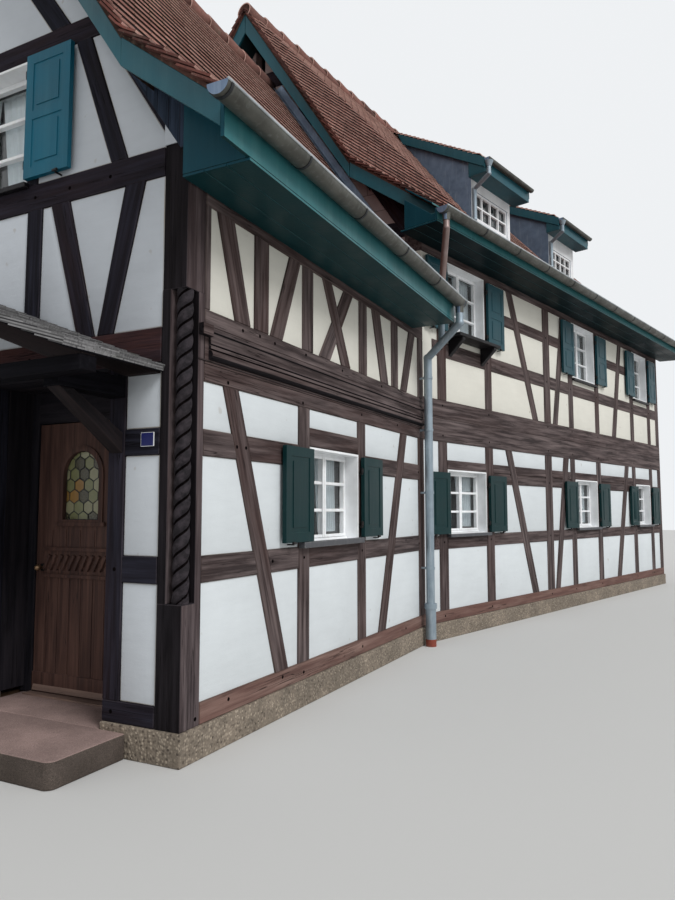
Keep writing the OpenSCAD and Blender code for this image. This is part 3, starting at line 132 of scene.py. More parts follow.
def finish(name, group, bump=0.003, gloss=0.5, metal=0.0, coat=0.0, follow=None, **values):
    """A material that places one effect. follow names the attribute on which its pattern lies."""
    material, tree = blank(name)
    placed = put(tree, "Group", values, node_tree=group)
    for label in ("Tone", "Worn", "Along"):
        if label in placed.inputs and label not in values:
            read = put(tree, "Attribute", attribute_name=label.lower())
            tree.links.new(read.outputs["Fac"], placed.inputs[label])
    if follow:
        where = put(tree, "Attribute", attribute_name=follow).outputs["Vector"]
    else:
        where = put(tree, "TexCoord").outputs["Object"]
    tree.links.new(where, placed.inputs["Vector"])
    bumped = put(tree, "Bump", {"Strength": 1.0, "Distance": bump, "Height": placed.outputs["Height"]})
    surface = put(tree, "BsdfPrincipled", {
        "Base Color": placed.outputs["Color"], "Roughness": placed.outputs["Roughness"], "Normal": bumped,
        "Metallic": metal, "Coat Weight": coat, "Specular IOR Level": gloss})
    put(tree, "OutputMaterial", {"Surface": surface})
    return material


def gravel(tree, given):
    where = given["Vector"]
    stones = put(tree, "TexVoronoi", {"Vector": where, "Scale": given["Scale"], "Randomness": 1.0})
    which = put(tree, "SeparateColor", {0: stones.outputs["Color"]})
    gaps = ramped(tree, stones.outputs["Distance"], 0.3, 0.0, 0.62, 1.0)
    colour = blended(tree, which.outputs[0], given["Dark"], given["Light"])
    colour = blended(tree, gaps, colour, given["Bed"])
    colour = tinted(tree, colour, ramped(tree, clouds(tree, where, 3.0, 6.0), 0.42, 0.72, 0.7, 1.05))
    height = sums(tree, "SUBTRACT", times(tree, clouds(tree, where, 260.0), 0.3), stones.outputs["Distance"])
    return colour, ramped(tree, which.outputs[1], 0.0, 0.75, 1.0, 0.95), height


washed_gravel = effect("washed_gravel", gravel, Scale=52.0, Light="b8aa98", Dark="4e443c", Bed="867a6c")
plinth_stone = finish("plinth_gravel", washed_gravel, 0.006)
step_stone = finish("step_sandstone", washed_gravel, 0.0015, 0.3, Scale=210.0, Light="baa29c",
                    Dark="7e6964", Bed="9a837d")
step_side = finish("step_side", washed_gravel, 0.003, 0.1, Scale=160.0, Light="746861",
                   Dark="46403a", Bed="5e554f")


def copied(node):
    """A CAD node's mesh with its loose triangles joined into whole faces."""
    bm = bmesh.new()
    bm.from_mesh(nodes[node].data)
    bmesh.ops.remove_doubles(bm, verts=bm.verts, dist=2e-5)
    bmesh.ops.dissolve_limit(bm, angle_limit=0.008, verts=bm.verts, edges=bm.edges)
    return bm


def eased(bm, width, segments=1, sharp=0.9):
    """Takes off the arrises that are sharper than an angle, and marks the new faces as worn."""
    worn = bm.faces.layers.float.get("worn") or bm.faces.layers.float.new("worn")
    edges = [e for e in bm.edges if len(e.link_faces) == 2 and e.calc_face_angle(0) > sharp]
    made = bmesh.ops.bevel(bm, geom=edges, offset=width, offset_type="OFFSET", affect="EDGES",
                           segments=segments, profile=0.5, material=-1, clamp_overlap=True)
    for face in made["faces"]:
        face[worn] = 1.0
    return bm


def picked(bm, choose):
    """Gives each face the finish whose number choose returns."""
    for face in bm.faces:
        face.material_index = int(choose(face))
    return bm


def piece(name, bm, *finishes, node=None, slot=None, body="house", smooth=False):
    """Makes a bmesh one piece of the house. It rides on a body and may stand for a CAD node."""
    if smooth:
        for face in bm.faces:
            face.smooth = True
        for edge in bm.edges:
            edge.smooth = len(edge.link_faces) == 2 and edge.calc_face_angle(0) < 0.6
    mesh = bpy.data.meshes.new(name)
    bm.to_mesh(mesh)
    bm.free()
    for material in finishes:
        mesh.materials.append(material)
    made = bpy.data.objects.new(name, mesh)
    bpy.context.scene.collection.objects.link(made)
    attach(made, body)
    if node:
        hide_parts(node)
    return made


piece("plinth_cast", eased(copied("plinth"), 0.008, 2, 0.6), plinth_stone, node="plinth")
slab = picked(eased(copied("step_slab"), 0.012, 3, 0.4), lambda f: f.normal.z < 0.3)
piece("step_stone", slab, step_stone, step_side, node="step_slab", smooth=True)

# Timber frame.
# Oak posts, rails and braces, sawn, mortised and pegged, then stained dark brown; the weather
# has greyed the faces and opened drying cracks along the grain. The sills are redder.


def old_oak(tree, given):
    along = given["Vector"]
    streak = clouds(tree, along, (1.3, 24, 24), 7.0, 0.6)
    fine = clouds(tree, along, (5, 150, 150), 4.0, 0.6)
    split = clouds(tree, along, (0.9, 30, 30), 2.0, 0.5)
    patch = clouds(tree, along, (0.8, 3, 3), 3.0)
    crack = ramped(tree, sums(tree, "ABSOLUTE", sums(tree, "SUBTRACT", split, 0.5)), 0.0, 1.0, 0.016, 0.0)
    crack = times(tree, crack, ramped(tree, clouds(tree, along, (1.5, 6, 6)), 0.5, 0.0, 0.6, 1.0))
    amount = sums(tree, "ADD", ramped(tree, streak, 0.4, 0.0, 0.68, 0.85), times(tree, fine, 0.25))
    colour = blended(tree, amount, given["Dark"], given["Light"])
    warm = sums(tree, "MULTIPLY", given["Tone"], ramped(tree, patch, 0.35, 0.25, 0.65, 1.0), True)
    colour = blended(tree, warm, colour, blended(tree, fine, given["Dark"], given["Warm"]))
    # Marked faces turn toward the rubbed colour: wear on the arrises, and painted highlight on the crests of the
    # carved rope.
    rubbed = times(tree, given["Worn"], ramped(tree, streak, 0.4, 0.1, 0.62, 0.6))
    colour = blended(tree, rubbed, colour, given["Rubbed"])
    colour = blended(tree, times(tree, crack, 0.85), colour, "0d0a0a")
    relief = sums(tree, "ADD", times(tree, streak, 0.5), times(tree, fine, 0.35))
    return colour, ramped(tree, streak, 0.3, 0.62, 0.7, 0.86), sums(tree, "SUBTRACT", relief, crack)


stained_oak = effect("stained_oak", old_oak, Tone=0.0, Worn=0.0, Dark="262021", Light="786c6b",
                     Warm="5c3f38", Rubbed="544843")


def oak(name, dark, light, warm, rubbed="544843", bump=0.005, gloss=0.08, follow="grain", **values):
    return finish(name, stained_oak, bump, gloss, follow=follow, Dark=dark, Light=light, Warm=warm,
                  Rubbed=rubbed, **values)


frame_oak = oak("frame_oak", "262021", "786c6b", "5c3f38")
# The gable timbers are darker and bluer than the street ones: painted shade of the gable side.
gable_shade_oak = oak("gable_shade_oak", "121218", "2e2f3a", "6a443e", "464044", gloss=0.06)
shaded_oak = oak("shaded_oak", "0d0c0e", "2e2b2f", "281f20", "282426", 0.004, 0.05)
sill_oak = oak("sill_oak", "4e3a36", "967e75", "825e56")


def members(bm):
    """The separate timbers or boards of a mesh, each as its list of vertices."""
    seen = set()
    for start in bm.verts:
        if start in seen:
            continue
        group, queue = [], [start]
        seen.add(start)
        while queue:
            v = queue.pop()
            group.append(v)
            for e in v.link_edges:
                o = e.other_vert(v)
                if o not in seen:
                    seen.add(o)
                    queue.append(o)
        yield group


def grained(bm, seed, warm=None):
    """Gives every separate timber its own tone and grain lines along its longest edge."""
    rng = random.Random(seed)
    grain = bm.verts.layers.float_vector.new("grain")
    tone = bm.verts.layers.float.new("tone")
    for group in members(bm):
        edge = max((e for v in group for e in v.link_edges), key=lambda e: e.calc_length())
        axis = (edge.verts[1].co - edge.verts[0].co).normalized()
        side = axis.cross(Vector((0.3, 0.2, 1)) if abs(axis.z) < 0.9 else Vector((1, 0.3, 0))).normalized()
        other = axis.cross(side)
        offset = Vector([rng.uniform(0, 40) for _ in range(3)])
        centre = sum((v.co for v in group), Vector()) / len(group)
        level = warm(centre, rng) if warm else rng.random() * 0.5
        for v in group:
            v[grain] = offset + Vector((v.co.dot(axis), v.co.dot(side), v.co.dot(other)))
            v[tone] = level
    return bm


def sill_warmth(centre, rng):
    return rng.uniform(0.75, 1.0) if centre.z < 0.4 else rng.uniform(0.1, 0.6)


def gable_warmth(centre, rng):
    return rng.uniform(0.8, 1.0) if 2.58 < centre.z < 2.9 else rng.uniform(0.0, 0.2)


for node in ("near_side_frame", "near_gable_frame", "far_side_frame", "far_gable_frame", "rear_frame"):
    gable = "gable" in node
    warmth = gable_warmth if node == "near_gable_frame" else sill_warmth
    bm = grained(eased(copied(node), 0.005), node, warmth)
    picked(bm, lambda f: not gable and max(v.co.z for v in f.verts) < 0.45)
    piece(node + "_timbers", bm, gable_shade_oak if gable else frame_oak, sill_oak, shaded_oak, node=node)
bm = grained(eased(copied("moulded_beam"), 0.002), "moulded_beam", sill_warmth)
# Faces turned down or toward the gable take the shaded oak: painted shade.
picked(bm, lambda f: 2 * (f.normal.z < -0.3 or f.normal.x < -0.9))
piece("moulded_beam_timbers", bm, frame_oak, sill_oak, shaded_oak, node="moulded_beam")


def outward(bm, faces=None):
    bmesh.ops.recalc_face_normals(bm, faces=faces or bm.faces)
    return bm


# The corner post, its lower half square and above that a rope of two carved strands.
bm = copied("corner_post")
bmesh.ops.delete(bm, geom=max(members(bm), key=len), context="VERTS")
square = set(eased(bm, 0.006, 2, 1.2).faces)
axis, climb, outer, groove, turns, rows = Vector((0.0675, 0.0625, 1.0003)), 2.0797, 0.056, 0.02, 9.7, 400
strand = bmesh.ops.create_circle(bm, segments=40, radius=outer, matrix=Matrix.Translation(axis))["verts"]
for v in strand:
    phase = math.atan2(v.co.y - axis.y, v.co.x - axis.x) / math.pi % 1.0
    swell = max(0.0, 1 - (2 * phase - 1) ** 2) ** 0.5
    v.co = axis + (v.co - axis) * (1 - groove * (1 - swell) / outer)
lay = strand + list(dict.fromkeys(e for v in strand for e in v.link_edges))
bmesh.ops.spin(bm, geom=lay, cent=axis, axis=(0, 0, 1), angle=2 * math.pi * turns, steps=rows,
               dvec=(0, 0, climb / rows), use_merge=False)
bmesh.ops.holes_fill(bm, edges=[e for e in bm.edges if e.is_boundary], sides=0)
twisted = [f for f in bm.faces if f not in square]
outward(bm, twisted)
worn = bm.faces.layers.float["worn"]
# Deep faces in the grooves take a near black oak, which is painted shade. The outermost faces of the strands are
# marked for the lighter rubbed colour, which is painted highlight with wear.
for face in twisted:
    depth = outer - max((v.co.xy - axis.xy).length for v in face.verts)
    face.material_index = 2 if depth > 0.008 else 0
    face[worn] = 0.7 if depth < 0.0012 else 0.0
# The street face takes a lighter oak as painted light, and faces toward the gable take the shaded oak as painted
# shade. The rope's own oak is darker and bluer, also painted shade.
for face in bm.faces:
    face.smooth = len(face.verts) == 4 and 1.0 < face.calc_center_median().z < 3.08
    if face.normal.y < -0.9 and face.calc_area() > 0.01:
        face.material_index = 1
    if face.normal.x < -0.7 and len(face.verts) > 3 and face.calc_area() > 0.004:
        face.material_index = 3
piece("carved_post", grained(bm, "post", lambda centre, rng: 0.35),
      oak("post_shade_oak", "121115", "3c373c", "362c2d", "423c40", 0.004, 0.15),
      oak("post_lit_oak", "2a2528", "74696a", "5c423d", gloss=0.1),
      oak("post_groove_shade", "060506", "1a1616", "140e0d", bump=0.003, gloss=0.0), shaded_oak,
      node="corner_post")

# Plaster panels.
# The fields between the timbers are clay and brick under lime plaster, drawn off with a
# wooden float and limewashed: white at street level, cream above, with rounded edges.


def float_finish(tree, given):
    where = given["Vector"]
    rise = put(tree, "SeparateXYZ", {0: where}).outputs[2]
    upper = ramped(tree, sums(tree, "DIVIDE", rise, 10.0), 0.283, 0.0, 0.285, 1.0)
    broad = clouds(tree, where, 1.6, 6.0, 0.6)
    streaks = clouds(tree, where, (3, 3, 14), 5.0, 0.6)
    grit = clouds(tree, where, 190.0, 3.0)
    colour = blended(tree, upper, given["Wall"], given["Upper"])
    colour = tinted(tree, colour, ramped(tree, broad, 0.3, 0.93, 0.66, 1.0))
    colour = tinted(tree, colour, ramped(tree, streaks, 0.35, 0.93, 0.6, 1.0), 0.4)
    spots = ramped(tree, clouds(tree, where, 11.0, 2.0, 0.4), 0.72, 0.0, 0.78, 0.35)
    colour = blended(tree, spots, colour, given["Soil"])
    # The bevelled rims are mixed toward the soil colour, so each panel is darker along its edges.
    rubbed = times(tree, given["Worn"], ramped(tree, broad, 0.4, 0.35, 0.6, 0.8))
    colour = blended(tree, rubbed, colour, given["Soil"])
    relief = sums(tree, "ADD", times(tree, streaks, 0.5), times(tree, grit, 0.2))
    return colour, ramped(tree, grit, 0.3, 0.86, 0.7, 0.95), sums(tree, "ADD", relief, broad)


def by_reach(bm, small):
    """Gives the second finish to those members whose reach along the three axes is small."""
    for group in members(bm):
        if small([max(v.co[k] for v in group) - min(v.co[k] for v in group) for k in range(3)]):
            for face in {f for v in group for f in v.link_faces}:
                face.material_index = 1
    return bm


lime_plaster = effect("lime_plaster", float_finish, Worn=0.0, Wall="dce2e5", Upper="e3e1d7",
                      Soil="a2988a")
street_plaster = finish("street_plaster", lime_plaster, 0.006, 0.3)
# The gable plaster is greyer and bluer than the street plaster: painted shade of the gable side.
gable_plaster = finish("gable_plaster", lime_plaster, 0.005, 0.3, Wall="d0d6dc", Upper="ced4db")
for node in ("near_side_infill", "near_gable_infill", "far_side_infill", "rear_infill"):
    bm = by_reach(grained(eased(copied(node), 0.009, 2), node), lambda reach: reach[2] < 0.05)
    plaster = gable_plaster if node == "near_gable_infill" else street_plaster
    piece(node + "_plaster", bm, plaster, frame_oak, node=node, smooth=True)


def block_field(tree, given):
    turned = put(tree, "Mapping", {"Vector": given["Vector"], "Rotation": (math.pi / 2, 0, math.pi / 2)},
                 vector_type="TEXTURE")
    bricks = put(tree, "TexBrick", {
        "Vector": turned, "Scale": 1.0, "Mortar Size": 0.006, "Mortar Smooth": 0.3, "Bias": 0.0,
        "Brick Width": 0.5, "Row Height": 0.24, "Color1": (0, 0, 0, 1), "Color2": (1, 1, 1, 1)})
    joint = bricks.outputs["Fac"]
    tone = put(tree, "SeparateColor", {0: bricks.outputs["Color"]}).outputs[0]
    colour = blended(tree, times(tree, tone, 0.5), given["Block"], given["Other"])
    colour = tinted(tree, colour, ramped(tree, clouds(tree, given["Vector"], 3.0, 6.0), 0.3, 0.82, 0.65, 1.0))
    colour = blended(tree, times(tree, joint, 0.75), colour, given["Joint"])
    grit = clouds(tree, given["Vector"], 160.0, 3.0)
    height = sums(tree, "SUBTRACT", times(tree, grit, 0.25), joint)
    return colour, ramped(tree, grit, 0.3, 0.82, 0.7, 0.94), height


pink_blocks = effect("pink_blocks", block_field, Block="b09a96", Other="a08a86",
                     Joint="685c5a")
piece("far_gable_infill_blocks", eased(copied("far_gable_infill"), 0.006),
      finish("gable_blocks", pink_blocks, 0.004), node="far_gable_infill")

# Gable foot.
# Planks stained slate blue close the gable above the tie beam, up to the underside of the
# roof, and the last panel of plaster runs down beside them.


def board(bm, place, low, high):
    """Adds one squared board between two corners given in a wall's own axes."""
    low, high = Vector(low), Vector(high)
    sized = Matrix.Translation((low + high) / 2) @ Matrix.Diagonal((*(high - low), 1))
    return bmesh.ops.create_cube(bm, size=1.0, matrix=place @ sized)["verts"]


def trimmed(bm, where, away, clear=True, fill=True, snap=1e-6):
    """Cuts a mesh at a plane, clears what lies beyond it and closes the cut ends."""
    made = bmesh.ops.bisect_plane(bm, geom=bm.verts[:] + bm.edges[:] + bm.faces[:], dist=snap,
                                  plane_co=where, plane_no=away, clear_outer=clear)
    if fill:
        edges = [e for e in made["geom_cut"] if isinstance(e, bmesh.types.BMEdge) and e.is_boundary]
        bmesh.ops.holes_fill(bm, edges=edges, sides=0)


near_wall = Matrix.Identity(4)
planks, patch = bmesh.new(), bmesh.new()
for k in range(6):
    board(planks, near_wall, (-0.017, k * 0.1 - 0.03, 4.0), (-0.003, k * 0.1 + 0.068, 4.9))
board(patch, near_wall, (-0.004, 0.0905, 4.09), (0.002, 0.2055, 4.29))
trimmed(planks, (0, 0.087, 4.077), (0, 1.431, -1))
trimmed(planks, (0, 0, 4.04), (0, 0, -1))
trimmed(planks, (0, 0, 4.34), (0, -0.79, 1))
trimmed(patch, (0, 0.087, 4.077), (0, -1.431, 1))
trimmed(patch, (0, 0, 4.0855), (0, 0, -1))
slate_stain = oak("slate_blue_stain", "182230", "424e62", "2c323e", bump=0.003, gloss=0.1)
piece("gable_foot_planks", grained(eased(outward(planks), 0.002), "foot"), slate_stain, slot="dark_timber")
piece("gable_foot_plaster", outward(patch), gable_plaster, slot="plaster")

# Pegs.
# Oak pegs drive home in bored holes where a brace or post is tenoned into a rail or sill.
# They have shrunk, so each is a dark, sunk disc, painted near black as the shade in its hole.


def rod(bm, place, foot, top, length, sides=10):
    """Adds a round bar along the third axis of a place, with the radii of its two ends."""
    bmesh.ops.create_cone(bm, cap_ends=True, segments=sides, radius1=foot, radius2=top, depth=length,
                          matrix=place)


far_wall = Matrix.Translation((4.63, 0, 0)) @ Matrix.Rotation(-math.radians(14.7), 4, "Z")
gable_wall = Matrix(((0, 1, 0, 0), (1, 0, 0, 0), (0, 0, 1, 0), (0, 0, 0, 1)))
# Each spot is the distance along its wall and the height.
near_spots = [(0.16, 0.26), (0.53, 0.30), (1.60, 0.27), (1.60, 1.21), (1.60, 2.06), (2.78, 0.28),
              (2.78, 2.06), (2.78, 1.21), (3.96, 0.28), (0.48, 2.51), (1.26, 0.30), (1.573, 2.514),
              (2.78, 2.56), (0.6, 2.06), (0.716, 2.062), (1.1, 1.21), (0.66, 2.93), (0.892, 2.94),
              (1.113, 2.93), (1.624, 2.94), (2.34, 2.93), (3.3, 2.93), (4.42, 1.21), (4.42, 2.06),
              (3.75, 2.56)]
far_spots = [(x, z) for x in (0.44, 1.64, 3.57, 4.53, 5.7, 7.6, 8.65)
             for z in (0.28, 1.2, 2.04, 2.56, 2.95, 3.69, 4.42)]
gable_spots = [(y, z) for y in (0.57, 2.0, 3.82) for z in (0.28, 1.21, 2.06, 2.7)]
gable_spots += [(y, z) for y in (0.7, 1.1, 1.46, 2.94, 3.3, 3.7) for z in (2.72, 3.98)]
pegs = bmesh.new()
for wall, spots in ((near_wall, near_spots), (far_wall, far_spots), (gable_wall, gable_spots)):
    for x, z in spots:
        bore = wall @ Matrix.Translation((x, -0.0006, z)) @ Matrix.Rotation(math.pi / 2, 4, "X")
        rod(pegs, bore, 0.0145, 0.012, 0.0028)
peg_shade_stock = oak("peg_end_shade", "060506", "161212", "140f0e", bump=0.002, gloss=0.0, follow=None)
piece("peg_ends", outward(pegs), peg_shade_stock, slot="dark_timber")

# Window frames, linings and sills.
# Painted softwood casements with glazing bars stand deep in the wall. White boards line the
# opening out to the timber face, and a dark slate sill, or a board, throws the rain off.


def brushed_paint(tree, given):
    where = given["Vector"]
    cloud = clouds(tree, where, 2.5, 5.0)
    strokes = clouds(tree, where, (60, 60, 4), 3.0)
    drip = ramped(tree, clouds(tree, where, (14, 14, 0.8)), 0.5, 0.0, 0.75, 1.0)
    colour = tinted(tree, given["Paint"], ramped(tree, cloud, 0.3, 0.82, 0.7, 1.08))
    colour = blended(tree, times(tree, drip, given["Dirt"]), colour, given["Bare"])
    rubbed = times(tree, given["Worn"], ramped(tree, clouds(tree, where, 24.0), 0.45, 0.12, 0.62, 0.65))
    colour = blended(tree, rubbed, colour, given["Edge"])
    height = sums(tree, "ADD", strokes, times(tree, cloud, 0.5))
    return colour, ramped(tree, cloud, 0.3, 0.34, 0.7, 0.52), height


white, old_white, rubbed_white = "f6f8fa", "bebab0", "d6d4ce"
oil_paint = effect("oil_paint", brushed_paint, Worn=0.0, Dirt=0.15, Paint=white, Bare=old_white,
                   Edge=rubbed_white)


def paint(name, colour, bare, edge, dirt=0.3, bump=0.001, gloss=0.5, coat=0.0):
    return finish(name, oil_paint, bump, gloss, coat=coat, Paint=colour, Bare=bare, Edge=edge, Dirt=dirt)


white_gloss = paint("white_window_paint", white, old_white, rubbed_white, 0.15, 0.0006, coat=0.2)
for node in ("ground_windows", "upper_windows"):
    piece(node + "_joinery", eased(copied(node), 0.006, 2), white_gloss, node=node)

# Each opening has its wall, left, right, foot and head, and the width of the frame's outer rail.
openings = [
    (near_wall, 1.697, 2.69, 1.31, 2.15, 0.06), (gable_wall, 1.56, 2.84, 4.105, 5.112, 0.06),
    *((far_wall, a, b, 1.29, 2.13, 0.06) for a, b in ((0.54, 1.535), (4.62, 5.6), (7.69, 8.56))),
    *((far_wall, a, b, 3.92, 4.89, 0.055) for a, b in ((0.54, 1.56), (4.62, 5.62), (7.69, 8.56)))]
linings, stiles = bmesh.new(), bmesh.new()
slit, thick, deep = 0.0006, 0.022, 0.13
back, face = deep - slit, deep - 0.012
for wall, a, b, z0, z1, rail in openings:
    middle = (a + b) / 2
    for low, high in (((a + slit, -0.004, z0 + slit), (a + thick, back, z1 - slit)),
                      ((b - thick, -0.004, z0 + slit), (b - slit, back, z1 - slit)),
                      ((a + thick + slit, -0.004, z1 - thick), (b - thick - slit, back, z1 - slit)),
                      ((a + thick + slit, 0.0, z0 + slit), (b - thick - slit, back, z0 + 0.018))):
        board(linings, wall, low, high)
    for s in (middle - 0.032, middle + 0.002):
        board(stiles, wall, (s, face - 0.004, z0 + rail - 0.012), (s + 0.03, back, z1 - rail + 0.012))
    for s, e in ((a + rail - 0.02, middle - 0.034), (middle + 0.034, b - rail + 0.02)):
        for z in (z0 + rail, z1 - rail):
            board(stiles, wall, (s, face, z - 0.014), (e, back, z + 0.014))
    board(stiles, wall, (a + rail - 0.02, face - 0.012, z0 + rail - 0.04),
          (b - rail + 0.02, back, z0 + rail - 0.018))
piece("window_linings", eased(outward(linings), 0.003, 2), white_gloss, slot="white_paint")
piece("casement_stiles", eased(outward(stiles), 0.004, 2), white_gloss, slot="white_paint")
sill_slate = paint("sill_slate", "424348", "686868", "767676", 0.4, 0.0012)
shelf_paint = paint("shelf_paint", "1a191c", "322f30", "3c3a3a", 0.4, 0.0012, 0.15)
sills = picked(eased(copied("sill_boards"), 0.006, 2), lambda f: f.calc_center_median().z > 3.0)
piece("sill_boards_eased", sills, sill_slate, shelf_paint, node="sill_boards")


def pane(name, tint, rough=0.03, bump=0.0004, scale=9.0, through=1.0):
    """Old drawn glass with a faint ripple."""
    material, tree = blank(name)
    ripple = clouds(tree, put(tree, "TexCoord").outputs["Object"], scale, 2.0)
    bumped = put(tree, "Bump", {"Strength": 1.0, "Distance": bump, "Height": ripple})
    paler = (*(min(1.0, c * 1.08) for c in tint[:3]), 1)
    colour = blended(tree, ramped(tree, ripple, 0.3, 0.0, 0.7, 1.0), tint, paler)
    surface = put(tree, "BsdfPrincipled", {"Base Color": colour, "Roughness": rough, "Normal": bumped,
                                           "Transmission Weight": through, "IOR": 1.45})
    put(tree, "OutputMaterial", {"Surface": surface})
    return material


def refinished(node, material):
    """Gives a CAD node that stays as it is a better material."""
    nodes[node].data.materials.clear()
    nodes[node].data.materials.append(material)


window_pane = pane("window_glass", (0.88, 0.93, 0.94, 1))
refinished("ground_glass", window_pane)
refinished("upper_glass", window_pane)

# Curtains.
# Short net curtains, gathered on a rod behind each casement pair, hang open in the middle;
# the gable's are drawn together.
net_cloth, tree = blank("net_curtain")
where = put(tree, "TexCoord").outputs["Object"]
waves = {"Vector": where, "Scale": 90.0, "Distortion": 0.3}
weft = put(tree, "TexWave", waves, bands_direction="Z").outputs["Fac"]
tint = tinted(tree, "f4f8fc", ramped(tree, weft, 0.2, 0.78, 0.8, 1.0))
bumped = put(tree, "Bump", {"Strength": 0.5, "Distance": 0.0006, "Height": weft})
cloth = put(tree, "BsdfPrincipled", {"Base Color": tint, "Roughness": 0.9, "Sheen Weight": 0.2,
                                     "Normal": bumped})
put(tree, "OutputMaterial", {"Surface": cloth})
for number, (wall, a, b, z0, z1, rail) in enumerate(openings, 1):
    width, foot, head = (b - a) * (0.47 if wall is gable_wall else 0.42), z0 + 0.09, z1 - 0.03
    for side, name in ((-1, "left"), (1, "right")):
        bm = bmesh.new()
        bmesh.ops.create_grid(bm, x_segments=60, y_segments=6, size=0.5)
        middle = a + 0.03 + width / 2 if side < 0 else b - 0.03 - width / 2
        rng = random.Random(number * 2 - 2 + side)
        phase, folds = rng.uniform(0, 6), rng.uniform(6.5, 8.5)
        for v in bm.verts:
            u, h = v.co.x + 0.5, v.co.y + 0.5
            pull = 1 - 0.18 * (1 - h)
            fold = math.sin(u * folds * 2 * math.pi + phase + 0.5 * h) * (1 - 0.45 * h)
            x = middle + side * width * ((u - 0.5) * pull + (1 - pull) * 0.5)
            v.co = wall @ Vector((x, deep + 0.12 + 0.016 * fold, foot + (head - foot) * h))
        area = sum(f.calc_area() for f in bm.faces)
        hung = piece("curtain_%d_%s" % (number, name), bm, net_cloth, slot="white_paint", smooth=True)
along_x = Matrix.Rotation(math.pi / 2, 4, "Y")
rods = bmesh.new()
for wall, a, b, z0, z1, rail in openings:
    place = wall @ Matrix.Translation(((a + b) / 2, deep + 0.12, z1 - 0.03)) @ along_x
    rod(rods, place, 0.008, 0.008, b - a + 0.08)
    for s in (a - 0.03, b + 0.03):
        board(rods, wall, (s - 0.008, deep + 0.052, z1 - 0.04), (s + 0.008, deep + 0.13, z1 - 0.02))
piece("curtain_rods", outward(rods), white_gloss, slot="white_paint")

# Shutters and their ironwork.
# Framed oak leaves with raised fields, dark green to the street and teal on the gable, hang
# on wrought pins driven into the posts. A small iron catch under each leaf holds it open.


def plain_metal(tree, given):
    where = given["Vector"]
    cloud = clouds(tree, where, 5.0, 6.0, 0.6)
    bloom = ramped(tree, clouds(tree, where, (26, 26, 3)), 0.55, 0.0, 0.75, 0.6)
    colour = blended(tree, ramped(tree, cloud, 0.35, 0.0, 0.7, 0.7), given["Metal"], given["Stain"])
    height = sums(tree, "ADD", cloud, times(tree, clouds(tree, where, 90.0, 2.0), 0.15))
    return blended(tree, bloom, colour, given["Bloom"]), ramped(tree, cloud, 0.3, 0.36, 0.7, 0.6), height


dull_metal = effect("dull_metal", plain_metal, Metal="969b9e", Stain="747a7e", Bloom="b0b4b4")


def metal(name, colour, stain, bloom, shine, bump=0.001):
    return finish(name, dull_metal, bump, metal=shine, Metal=colour, Stain=stain, Bloom=bloom)


wrought_iron = metal("wrought_iron", "1e1e20", "2c2622", "423e3a", 0.6, 0.0015)
refinished("hinge_pins", wrought_iron)
leaf_paints = {
    "gable": paint("teal_shutter_paint", "0e5c72", "2e6e80", "407884", 0.35, 0.0008, 0.2),
    "upper": paint("upper_shutter_paint", "14424c", "2c585e", "547c80", 0.25, 0.0006, 0.25)}
green_gloss = paint("green_shutter_paint", "0a2d2f", "20403e", "4a6c6c", 0.25, 0.0006, 0.15)
for body, carried in frame["record"]["behaviour"]["bodies"].items():
    if "leaf" in body:
        node = carried[0]
        pin = Vector(next(j for j in frame["joints"] if j["child"] == body)["pos_m"])
        bm = picked(eased(copied(node), 0.0025), lambda f: (f.calc_center_median() - pin).xy.length < 0.0152)
        piece(node + "_leaf", bm, leaf_paints.get(node[:5], green_gloss), wrought_iron, body=body, node=node)
catches = bmesh.new()
for wall, a, b, z0, z1, rail in openings:
    foot = z0 + (0.034 if wall is near_wall else 0.014 if z0 < 2 else 0.01)
    for x in (a - 0.37, b + 0.37):
        board(catches, wall, (x - 0.006, -0.062, foot - 0.022), (x + 0.006, 0.004, foot - 0.010))
        rod(catches, wall @ Matrix.Translation((x, -0.066, foot - 0.004)) @ along_x, 0.013, 0.009, 0.05, 8)
piece("shutter_catches", eased(outward(catches), 0.002), wrought_iron, slot="black_iron")

# Door frame and recess.
# The recess is lined with oak posts, a boarded ceiling and a rebated oak frame, oiled a
# warmer brown than the street timbers but painted near black here as the shade of the recess,
# with a flat sill that feet have worn pale.
recess_shade_oak = oak("recess_shade_oak", "101117", "2c292e", "322626", bump=0.003, gloss=0.1)
worn_oak = oak("worn_sill_oak", "56443e", "8e766a", "785c50", bump=0.003, gloss=0.5)
bm = grained(eased(copied("door_frame"), 0.004, 2), "doorway")
picked(bm, lambda f: max(v.co.z for v in f.verts) < 0.18)
piece("door_frame_timbers", bm, recess_shade_oak, worn_oak, node="door_frame")

# Front door.
# Ledged oak boards, oiled red brown, carry a band of twisted carving, an arched light and a
# dull brass knob on a dark rose. A worn weather bar is screwed along the foot.
board_wide = 0.133


def jointed_oak(tree, given):
    colour, rough, height = old_oak(tree, given)
    across = put(tree, "SeparateXYZ", {0: given["Vector"]}).outputs[1]
    ridge = sums(tree, "DIVIDE", sums(tree, "PINGPONG", across, board_wide / 2), board_wide / 2)
    joint = ramped(tree, ridge, 0.0, 1.0, 0.07, 0.0)
    colour = blended(tree, times(tree, joint, 0.7), colour, given["Joint"])
    return colour, rough, sums(tree, "SUBTRACT", height, joint)


